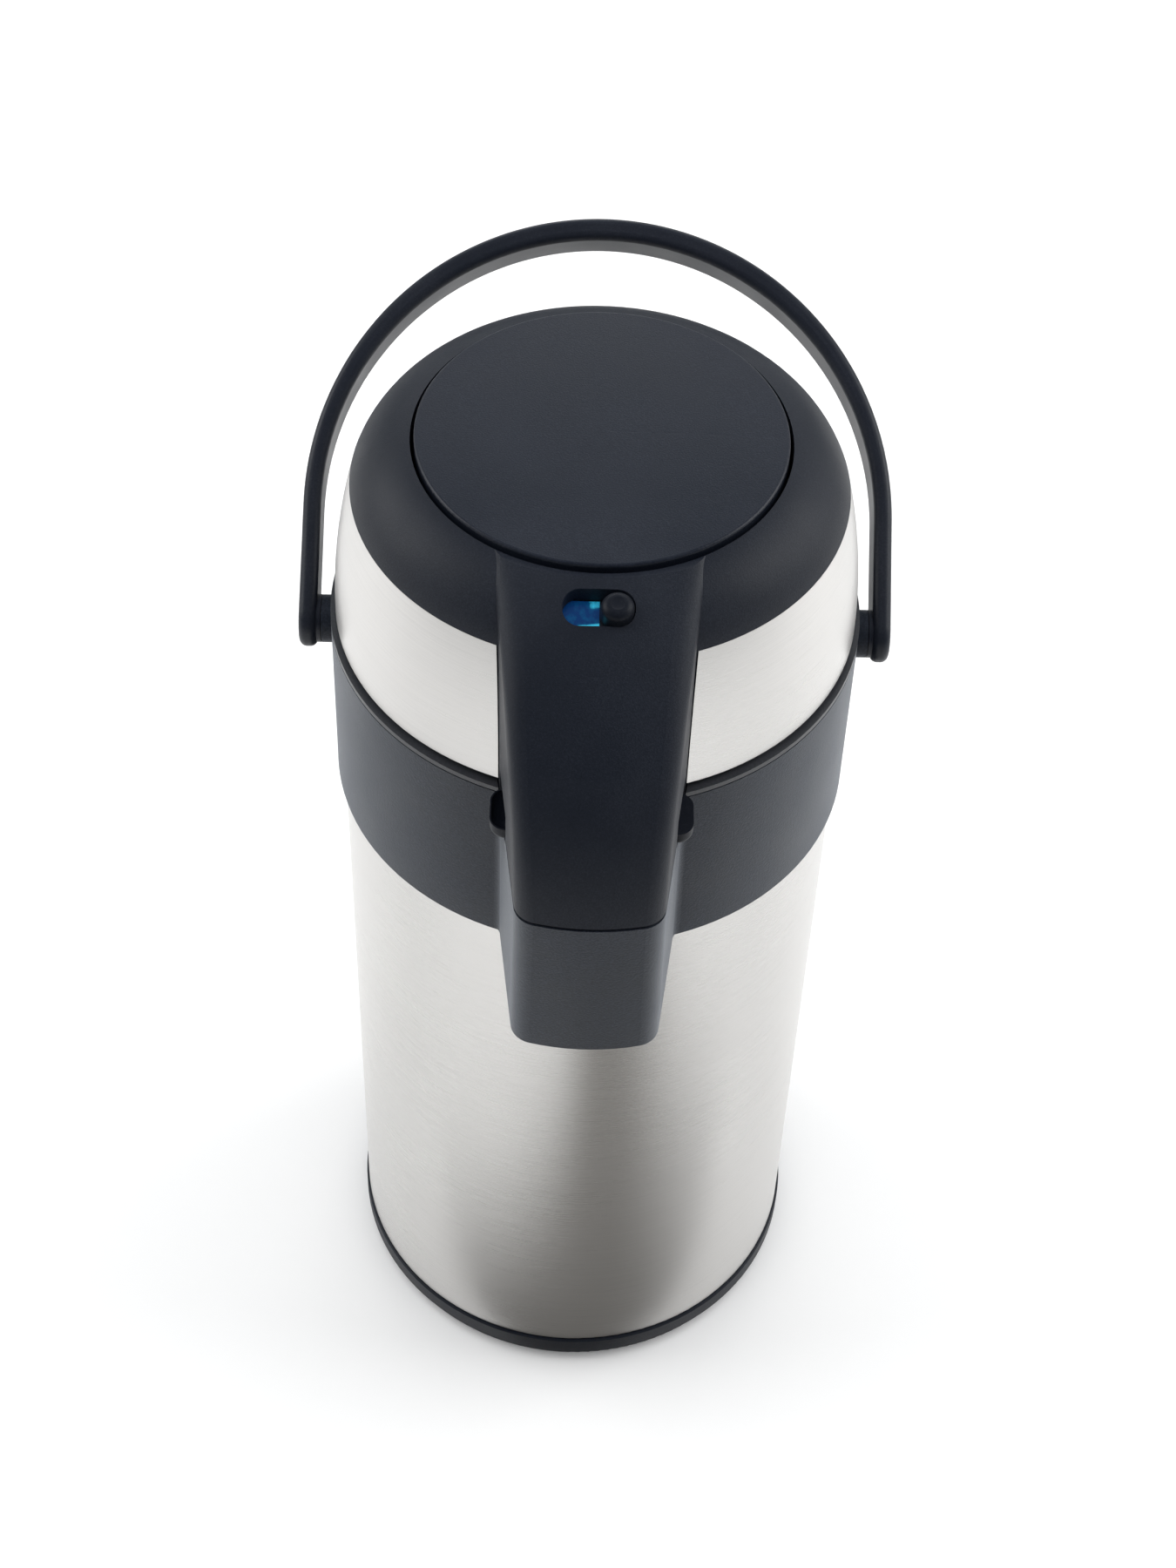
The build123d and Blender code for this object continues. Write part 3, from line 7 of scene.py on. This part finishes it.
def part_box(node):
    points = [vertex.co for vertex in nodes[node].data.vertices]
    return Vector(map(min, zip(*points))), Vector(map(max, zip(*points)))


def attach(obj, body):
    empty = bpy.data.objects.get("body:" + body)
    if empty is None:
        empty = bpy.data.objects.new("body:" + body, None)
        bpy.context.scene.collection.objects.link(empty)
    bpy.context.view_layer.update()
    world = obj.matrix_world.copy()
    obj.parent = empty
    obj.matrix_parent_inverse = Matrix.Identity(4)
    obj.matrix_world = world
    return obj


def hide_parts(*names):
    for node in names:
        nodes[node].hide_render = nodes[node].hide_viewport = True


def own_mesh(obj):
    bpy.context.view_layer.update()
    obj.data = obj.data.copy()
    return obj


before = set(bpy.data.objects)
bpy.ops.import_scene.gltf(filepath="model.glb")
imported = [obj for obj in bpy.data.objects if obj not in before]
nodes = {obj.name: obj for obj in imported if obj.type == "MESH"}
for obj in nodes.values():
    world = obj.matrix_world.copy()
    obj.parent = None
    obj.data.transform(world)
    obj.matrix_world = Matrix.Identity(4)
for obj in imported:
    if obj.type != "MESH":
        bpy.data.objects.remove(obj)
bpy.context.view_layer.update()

# Camera of the photograph: metres and radians
PHOTO_FOCAL_SHARE = 3224.818 / 1800.0
CAMERA_PLACE = Vector((-0.00904, -0.57531, 0.88612))
CAMERA_YAW = 0.0155868
CAMERA_PITCH = 0.855158
CAMERA_ROLL = 0.0401316

# Light of the room, and a dark card on the floor in front, hidden from the camera, that paints a
# dark reflection into the steel: it leans to the right
ROOM_FRONT = 0.06
ROOM_BACK = 0.34
ROOM_OVERHEAD = 0.55
CARD_FOOT_Y = -0.075
CARD_REACH = 0.15
CARD_CENTRE = (-0.008, 0.050)
CARD_CORE = 0.010
CARD_EDGE = 0.100
CARD_WIDTH = (1.60, 1.0)
CARD_RIGHT_STRETCH = 1.5
CARD_LEVEL = (0.17, 0.36)
FLOOR_GLOW = 0.10

# Bellows and spring under the button, in metres
BELLOWS_FOLDS = 5
BELLOWS_FOLD_STEPS = 8
BELLOWS_DEPTH = 0.007
BELLOWS_WALL = 0.001
BELLOWS_CUFF = 0.004
SPRING_WIRE = 0.0009
SPRING_TURNS = 6
ROUND_STEPS = 96
WIRE_STEPS = 10

# The lock's window: painted light along its front and back edge and at the end beside the knob, in
# metres
WINDOW_FRONT_Y = -0.0647
WINDOW_FRONT_EDGE = 0.0009
WINDOW_BACK_Y = -0.0592
WINDOW_BACK_EDGE = 0.0012
WINDOW_KNOB_SIDE = (-0.0036, -0.0016)
WINDOW_SLANT = 0.15


def make_camera():
    """The camera stands in front and above, and looks down at the lid."""
    forward = Vector(
        (
            math.sin(CAMERA_YAW) * math.cos(CAMERA_PITCH),
            math.cos(CAMERA_YAW) * math.cos(CAMERA_PITCH),
            -math.sin(CAMERA_PITCH),
        )
    )
    level_right = Vector((math.cos(CAMERA_YAW), -math.sin(CAMERA_YAW), 0.0))
    level_up = level_right.cross(forward)
    right = math.cos(CAMERA_ROLL) * level_right + math.sin(CAMERA_ROLL) * level_up
    up = math.cos(CAMERA_ROLL) * level_up - math.sin(CAMERA_ROLL) * level_right
    data = bpy.data.cameras.new("camera")
    data.sensor_width = 36.0
    data.lens = PHOTO_FOCAL_SHARE * data.sensor_width
    data.clip_start, data.clip_end = 0.02, 50.0
    camera = bpy.data.objects.new("camera", data)
    bpy.context.scene.collection.objects.link(camera)
    turn = Matrix((right, up, -forward)).transposed()
    camera.matrix_world = Matrix.Translation(CAMERA_PLACE) @ turn.to_4x4()
    bpy.context.scene.camera = camera


make_camera()


def map_range(tree, source, start, result, smooth=False):
    """Maps a value from one range to another, in any node tree."""
    node = tree.nodes.new("ShaderNodeMapRange")
    if smooth:
        node.interpolation_type = "SMOOTHSTEP"
    node.inputs["From Min"].default_value, node.inputs["From Max"].default_value = start
    node.inputs["To Min"].default_value, node.inputs["To Max"].default_value = result
    tree.links.new(source, node.inputs["Value"])
    return node.outputs["Result"]


def math_node(tree, operation, first, second):
    """One arithmetic step on two values, each a number or an output."""
    node = tree.nodes.new("ShaderNodeMath")
    node.operation = operation
    for socket, value in zip(node.inputs, (first, second)):
        if hasattr(value, "is_linked"):
            tree.links.new(value, socket)
        else:
            socket.default_value = value
    return node.outputs["Value"]


class Shader:
    """A Principled material with short calls for the nodes that feed it."""

    def __init__(self, name, colour, roughness, metallic=0.0, specular=0.5):
        self.material = bpy.data.materials.new(name)
        self.material.use_nodes = True
        self.tree = self.material.node_tree
        self.bsdf = self.tree.nodes["Principled BSDF"]
        self.bsdf.inputs["Base Color"].default_value = (*colour, 1.0)
        self.bsdf.inputs["Roughness"].default_value = roughness
        self.bsdf.inputs["Metallic"].default_value = metallic
        self.bsdf.inputs["Specular IOR Level"].default_value = specular
        self.place = self.tree.nodes.new("ShaderNodeTexCoord").outputs["Object"]

    def link(self, source, target):
        self.tree.links.new(source, target)

    def scaled(self, scale):
        """Object coordinates multiplied by one number or by three."""
        mapping = self.tree.nodes.new("ShaderNodeMapping")
        three = scale if hasattr(scale, "__len__") else (scale,) * 3
        mapping.inputs["Scale"].default_value = three
        self.link(self.place, mapping.inputs["Vector"])
        return mapping.outputs["Vector"]

    def noise(self, scale, detail=2.0, rough=0.5):
        node = self.tree.nodes.new("ShaderNodeTexNoise")
        node.inputs["Scale"].default_value = 1.0
        node.inputs["Detail"].default_value = detail
        node.inputs["Roughness"].default_value = rough
        self.link(self.scaled(scale), node.inputs["Vector"])
        return node.outputs["Fac"]

    def ramp(self, source, low, high, start=0.0, end=1.0):
        """Maps a value to a range of numbers."""
        return map_range(self.tree, source, (start, end), (low, high))

    def colours(self, source, stops):
        """A colour ramp: stops are (place, colour) pairs."""
        node = self.tree.nodes.new("ShaderNodeValToRGB")
        ramp = node.color_ramp
        while len(ramp.elements) < len(stops):
            ramp.elements.new(0.5)
        for element, (place, colour) in zip(ramp.elements, stops):
            element.position = place
            element.color = (*colour, 1.0)
        self.link(source, node.inputs["Fac"])
        return node.outputs["Color"]

    def math(self, operation, first, second):
        return math_node(self.tree, operation, first, second)

    def blend(self, first, second, share):
        """The first value by its share, and the second by the rest."""
        part = self.math("MULTIPLY", first, share)
        rest = self.math("MULTIPLY", second, 1.0 - share)
        return self.math("ADD", part, rest)

    def bump(self, height, distance, strength=1.0):
        node = self.tree.nodes.new("ShaderNodeBump")
        node.inputs["Strength"].default_value = strength
        node.inputs["Distance"].default_value = distance
        self.link(height, node.inputs["Height"])
        return node.outputs["Normal"]

    def set(self, socket, source):
        self.link(source, self.bsdf.inputs[socket])


def moulded(name, colour, roughness, grain_size, grain_depth, lift=0.25, specular=0.5, sheen=0.0):
    """Moulded plastic: spark-eroded grain, slightly uneven sheen and faint rubbed patches."""
    shader = Shader(name, colour, roughness, specular=specular)
    shader.bsdf.inputs["Sheen Weight"].default_value = sheen
    shader.bsdf.inputs["Sheen Roughness"].default_value = 0.4
    shader.bsdf.inputs["Sheen Tint"].default_value = (0.88, 0.93, 1.0, 1.0)
    grain = shader.noise(1.0 / grain_size, detail=3.0, rough=0.6)
    wide = shader.noise(28.0, detail=3.0)
    pale = tuple(min(1.0, c * (1.0 + lift) + 0.004) for c in colour)
    deep = tuple(c * (1.0 - 0.6 * lift) for c in colour)
    mixed = shader.blend(grain, wide, 0.7)
    shader.set("Base Color", shader.colours(mixed, ((0.36, deep), (0.5, colour), (0.66, pale))))
    shader.set("Roughness", shader.ramp(wide, roughness - 0.05, roughness + 0.06, 0.35, 0.65))
    shader.set("Normal", shader.bump(grain, grain_depth))
    return shader.material


def brushed(name, colour, roughness):
    """Steel brushed around the axis: fine level lines, a few longer scratches and soft smears."""
    shader = Shader(name, colour, roughness, metallic=1.0)
    fine = shader.noise((30.0, 30.0, 6000.0), detail=3.0, rough=0.7)
    long_lines = shader.noise((5.0, 5.0, 1500.0), detail=3.0, rough=0.6)
    smear = shader.noise((9.0, 9.0, 6.0), detail=2.0)
    lines = shader.blend(fine, long_lines, 0.75)
    pale = tuple(min(1.0, c * 1.04) for c in colour)
    deep = tuple(c * 0.93 for c in colour)
    shader.set("Base Color", shader.colours(lines, ((0.32, deep), (0.5, colour), (0.68, pale))))
    uneven = shader.blend(lines, smear, 0.5)
    shader.set("Roughness", shader.ramp(uneven, roughness - 0.05, roughness + 0.07, 0.35, 0.65))
    shader.set("Normal", shader.bump(fine, 0.00002, strength=0.3))
    tangent = shader.tree.nodes.new("ShaderNodeTangent")
    tangent.direction_type = "RADIAL"
    tangent.axis = "Z"
    shader.link(tangent.outputs["Tangent"], shader.bsdf.inputs["Tangent"])
    shader.bsdf.inputs["Anisotropic"].default_value = 0.75
    shader.bsdf.inputs["Anisotropic Rotation"].default_value = 0.25
    return shader.material


def plain_metal(name, colour, roughness):
    """Plated or drawn steel of small parts."""
    shader = Shader(name, colour, roughness, metallic=1.0)
    wear = shader.noise(900.0, detail=3.0)
    shader.set("Roughness", shader.ramp(wear, roughness - 0.06, roughness + 0.1, 0.3, 0.7))
    shader.set("Normal", shader.bump(wear, 0.00001))
    return shader.material


def soft_rubber(name, colour, roughness, milky=0.0):
    """Rubber or silicone, matt and slightly uneven; milky kinds let some light in."""
    shader = Shader(name, colour, roughness)
    cloud = shader.noise(240.0, detail=4.0)
    pale = tuple(min(1.0, c * 1.15 + 0.003) for c in colour)
    shader.set("Base Color", shader.colours(cloud, ((0.35, colour), (0.7, pale))))
    shader.set("Normal", shader.bump(cloud, 0.00004))
    shader.bsdf.inputs["Subsurface Weight"].default_value = milky
    shader.bsdf.inputs["Subsurface Scale"].default_value = 0.002
    return shader.material


def window_plastic(name, colour):
    """Clear tinted plastic of the lock's window: deep blue, with painted light at its front, its
    back edge and the end beside the knob.
    """
    shader = Shader(name, colour, 0.16, specular=0.3)
    parts = shader.tree.nodes.new("ShaderNodeSeparateXYZ")
    shader.link(shader.place, parts.inputs["Vector"])
    slant = shader.math("MULTIPLY", parts.outputs["X"], WINDOW_SLANT)
    slanted = shader.math("SUBTRACT", parts.outputs["Y"], slant)
    front_end = WINDOW_FRONT_Y + WINDOW_FRONT_EDGE
    back_start = WINDOW_BACK_Y - WINDOW_BACK_EDGE
    front = shader.ramp(slanted, 0.85, 0.0, WINDOW_FRONT_Y, front_end)
    back = shader.ramp(parts.outputs["Y"], 0.0, 0.5, back_start, WINDOW_BACK_Y)
    beside_knob = shader.ramp(parts.outputs["X"], 0.0, 1.0, *WINDOW_KNOB_SIDE)
    ribs = shader.noise((620.0, 420.0, 500.0), detail=3.0)
    # painted light: the front edge, and the back edge beside the knob, are painted bright cyan; the
    # ribs add an uneven tone
    painted_light = shader.math("ADD", front, shader.math("MULTIPLY", back, beside_knob))
    painted_light = shader.math("ADD", painted_light, shader.ramp(ribs, 0.0, 0.30, 0.35, 0.70))
    middle = (0.002, 0.08, 0.21)
    bright = (0.05, 0.62, 0.90)
    stops = ((0.10, colour), (0.42, middle), (0.80, bright))
    shader.set("Base Color", shader.colours(painted_light, stops))
    shader.set("Normal", shader.bump(ribs, 0.00002))
    return shader.material


black_fine = moulded(
    "black_fine_plastic", (0.0080, 0.0106, 0.0178), 0.52, 0.00045, 0.00005, specular=0.38
)
black_button = moulded(
    "black_button_plastic", (0.0085, 0.0115, 0.0200), 0.42, 0.0005, 0.00005, specular=0.38
)
black_grainy = moulded(
    "black_grainy_plastic",
    (0.0110, 0.0145, 0.0230),
    0.55,
    0.0006,
    0.00010,
    lift=0.6,
    specular=0.25,
    sheen=0.38,
)
black_smooth = moulded(
    "black_smooth_plastic",
    (0.0110, 0.0135, 0.0210),
    0.40,
    0.0006,
    0.00001,
    lift=0.12,
    specular=0.32,
)
black_lever = moulded(
    "black_lever_plastic",
    (0.0070, 0.0088, 0.0140),
    0.48,
    0.0006,
    0.00001,
    lift=0.12,
    specular=0.18,
)
grey_rim = moulded("grey_rim_plastic", (0.035, 0.037, 0.043), 0.38, 0.0006, 0.00002)
dark_inside = moulded("dark_inside_plastic", (0.08, 0.083, 0.09), 0.5, 0.0008, 0.00003)
milky_plastic = soft_rubber("milky_plastic", (0.72, 0.74, 0.74), 0.28, milky=0.3)
silicone = soft_rubber("milky_silicone", (0.70, 0.69, 0.66), 0.45, milky=0.4)
black_rubber = soft_rubber("black_rubber", (0.03, 0.03, 0.03), 0.62)
body_steel = brushed("brushed_body_steel", (0.665, 0.652, 0.634), 0.28)
liner_steel = brushed("liner_steel", (0.66, 0.66, 0.65), 0.24)
small_steel = plain_metal("plated_small_steel", (0.62, 0.62, 0.63), 0.24)
blue_window = window_plastic("blue_window_plastic", (0.003, 0.035, 0.14))

FINISH = {
    "turntable": black_fine,
    "turntable_pad": black_rubber,
    "slip_ring": milky_plastic,
    "swivel_washer": small_steel,
    "swivel_screw": small_steel,
    "base_ring": black_fine,
    "outer_body": body_steel,
    "bottom_cap": liner_steel,
    "inner_flask": liner_steel,
    "collar": black_grainy,
    "neck_gasket": silicone,
    "mouth_ring": dark_inside,
    "ring_screws": small_steel,
    "suction_tube": milky_plastic,
    "tube_packing": silicone,
    "outlet_pipe": milky_plastic,
    "pipe_packing": silicone,
    "spout_nozzle": dark_inside,
    "hinge_pin": small_steel,
    "bail": black_smooth,
    "lid_shell": black_fine,
    "lid_band": body_steel,
    "lid_base": grey_rim,
    "lid_screws": small_steel,
    "lid_gasket": silicone,
    "check_valve": silicone,
    "bellows": black_rubber,
    "pump_spring": small_steel,
    "lock_guide": dark_inside,
    "release_pin": small_steel,
    "release_spring": small_steel,
    "pump_button": black_button,
    "pressure_plate": dark_inside,
    "button_screws": small_steel,
    "intake_valve": silicone,
    "lock_slider": black_lever,
    "lock_lens": blue_window,
    "release_lever": black_lever,
}
for name, node in nodes.items():
    node.data.materials.clear()
    node.data.materials.append(FINISH[name])


def mesh_piece(name, rings, closed, material):
    """A piece made of equal rings of points, joined one to the next."""
    count = len(rings[0])
    points = [point for ring in rings for point in ring]
    faces = []
    joins = len(rings) if closed else len(rings) - 1
    for i in range(joins):
        here, there = i * count, (i + 1) % len(rings) * count
        for k in range(count):
            after = (k + 1) % count
            faces.append((here + k, here + after, there + after, there + k))
    if not closed:
        faces.append(tuple(reversed(range(count))))
        faces.append(tuple(range((len(rings) - 1) * count, len(rings) * count)))
    mesh = bpy.data.meshes.new(name)
    mesh.from_pydata(points, [], faces)
    mesh.polygons.foreach_set("use_smooth", [True] * len(mesh.polygons))
    mesh.materials.append(material)
    piece = bpy.data.objects.new(name, mesh)
    bpy.context.scene.collection.objects.link(piece)
    return piece


def folded_bellows():
    """Round bellows with soft folds, between the lid's floor and the button's plate."""
    low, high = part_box("bellows")
    outer = high[0]
    height = high[2] - low[2] - 2 * BELLOWS_CUFF
    outline = [(outer, low[2])]
    for k in range(BELLOWS_FOLDS * BELLOWS_FOLD_STEPS + 1):
        turn = k / BELLOWS_FOLD_STEPS
        depth = 0.5 * (1.0 - math.cos(2.0 * math.pi * turn)) * BELLOWS_DEPTH
        outline.append((outer - depth, low[2] + BELLOWS_CUFF + height * turn / BELLOWS_FOLDS))
    outline.append((outer, high[2]))
    loop = outline + [(r - BELLOWS_WALL, z) for r, z in reversed(outline)]
    rings = []
    for i in range(ROUND_STEPS):
        turn = 2.0 * math.pi * i / ROUND_STEPS
        rings.append([(r * math.cos(turn), r * math.sin(turn), z) for r, z in loop])
    return mesh_piece("bellows_skin", rings, True, black_rubber)


def wound_spring():
    """The button's coil spring, one round wire."""
    low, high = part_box("pump_spring")
    middle = high[0] - SPRING_WIRE
    bottom, top = low[2] + SPRING_WIRE, high[2] - SPRING_WIRE
    steps = SPRING_TURNS * ROUND_STEPS
    rings = []
    for i in range(steps + 1):
        turn = 2.0 * math.pi * i / ROUND_STEPS
        level = bottom + (top - bottom) * i / steps
        ring = []
        for k in range(WIRE_STEPS):
            side = 2.0 * math.pi * k / WIRE_STEPS
            reach = middle + SPRING_WIRE * math.cos(side)
            height = level + SPRING_WIRE * math.sin(side)
            ring.append((reach * math.cos(turn), reach * math.sin(turn), height))
        rings.append(ring)
    return mesh_piece("button_spring", rings, False, small_steel)


def pressed_with_button(piece, node):
    """The piece stands for a node of the lid: it hangs from the lid, and the node is hidden."""
    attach(piece, "lid")
    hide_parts(node)
    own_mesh(piece)


pressed_with_button(folded_bellows(), "bellows")
pressed_with_button(wound_spring(), "pump_spring")


def make_room():
    """A dim room, brighter behind the object, and a pale floor."""
    world = bpy.data.worlds.new("room")
    world.use_nodes = True
    tree = world.node_tree
    direction = tree.nodes.new("ShaderNodeTexCoord").outputs["Generated"]
    parts = tree.nodes.new("ShaderNodeSeparateXYZ")
    tree.links.new(direction, parts.inputs["Vector"])
    level = map_range(tree, parts.outputs["Y"], (-0.25, 0.75), (ROOM_FRONT, ROOM_BACK), smooth=True)
    overhead = map_range(tree, parts.outputs["Z"], (0.15, 0.80), (1.0, ROOM_OVERHEAD), smooth=True)
    strength = math_node(tree, "MULTIPLY", level, overhead)
    background = tree.nodes["Background"]
    background.inputs["Color"].default_value = (0.86, 0.94, 1.0, 1.0)
    tree.links.new(strength, background.inputs["Strength"])
    bpy.context.scene.world = world
    floor = flat_card("floor", (-6.0, -6.0), (6.0, 6.0), 0.0)
    paper = Shader("pale_floor", (0.95, 0.95, 0.95), 0.9, specular=0.0)
    paper.bsdf.inputs["Emission Color"].default_value = (1.0, 1.0, 1.0, 1.0)
    paper.bsdf.inputs["Emission Strength"].default_value = FLOOR_GLOW
    floor.data.materials.append(paper.material)


def flat_card(name, low, high, z):
    """A level rectangle that belongs to the stage."""
    mesh = bpy.data.meshes.new(name)
    plan = ((low[0], low[1]), (high[0], low[1]), (high[0], high[1]), (low[0], high[1]))
    corners = [(x, y, z) for x, y in plan]
    mesh.from_pydata(corners, [], [(0, 1, 2, 3)])
    card = bpy.data.objects.new(name, mesh)
    bpy.context.scene.collection.objects.link(card)
    return card


def make_painted_reflection_card():
    """A soft-edged dark strip on the floor in front, hidden from the camera and from light, which
    paints a dark reflection into the steel.
    """
    card = flat_card("painted_reflection_card", (-0.20, -1.6), (0.20, -0.078), 0.0006)
    card.visible_camera = False
    card.visible_diffuse = False
    card.visible_shadow = False
    card.visible_transmission = False
    material = bpy.data.materials.new("painted_reflection_card")
    material.use_nodes = True
    tree = material.node_tree
    tree.nodes.clear()
    place = tree.nodes.new("ShaderNodeTexCoord").outputs["Object"]
    parts = tree.nodes.new("ShaderNodeSeparateXYZ")
    tree.links.new(place, parts.inputs["Vector"])
    foot_to_far = (CARD_FOOT_Y, CARD_FOOT_Y - CARD_REACH)
    centre = map_range(tree, parts.outputs["Y"], foot_to_far, CARD_CENTRE)
    width = map_range(tree, parts.outputs["Y"], foot_to_far, CARD_WIDTH)
    level = map_range(tree, parts.outputs["Y"], foot_to_far, CARD_LEVEL)
    shifted = math_node(tree, "SUBTRACT", parts.outputs["X"], centre)
    to_left = math_node(tree, "MULTIPLY", shifted, -1.0)
    to_right = math_node(tree, "DIVIDE", shifted, CARD_RIGHT_STRETCH)
    away = math_node(tree, "DIVIDE", math_node(tree, "MAXIMUM", to_left, to_right), width)
    edge = map_range(tree, away, (CARD_CORE, CARD_EDGE), (1.0, 0.0), smooth=True)
    # painted reflection: the strip's dim glow is what the steel mirrors as its dark streak; it
    # stands in for shade and is no lamp
    clear = tree.nodes.new("ShaderNodeBsdfTransparent")
    dark = tree.nodes.new("ShaderNodeEmission")
    dark.inputs["Color"].default_value = (0.95, 0.93, 0.90, 1.0)
    tree.links.new(level, dark.inputs["Strength"])
    mix = tree.nodes.new("ShaderNodeMixShader")
    tree.links.new(edge, mix.inputs["Fac"])
    tree.links.new(clear.outputs["BSDF"], mix.inputs[1])
    tree.links.new(dark.outputs["Emission"], mix.inputs[2])
    output = tree.nodes.new("ShaderNodeOutputMaterial")
    tree.links.new(mix.outputs["Shader"], output.inputs["Surface"])
    card.data.materials.append(material)


def soft_light(name, place, target, width, height, power, mirrored=True):
    """A large rectangular light that faces the target, and may stay out of reflections."""
    data = bpy.data.lights.new(name, "AREA")
    data.shape = "RECTANGLE"
    data.size, data.size_y = width, height
    data.energy = power
    light = bpy.data.objects.new(name, data)
    bpy.context.scene.collection.objects.link(light)
    light.location = place
    aim = Vector(target) - Vector(place)
    light.rotation_euler = aim.to_track_quat("-Z", "Y").to_euler()
    light.visible_glossy = mirrored


make_room()
make_painted_reflection_card()
soft_light("left_box", (-1.5, 0.3, 1.1), (0, 0, 0.1), 1.2, 1.2, 13.0)
soft_light("right_box", (1.5, 0.3, 1.1), (0, 0, 0.1), 1.2, 1.2, 15.0)
soft_light("back_box", (0.0, 1.9, 1.2), (0, 0, 0.0), 2.0, 0.8, 8.0)
soft_light("floor_fill", (0.0, -0.3, 2.6), (0, -0.3, 0.0), 3.2, 3.2, 62.0, mirrored=False)

bpy.context.scene.view_settings.view_transform = "Standard"
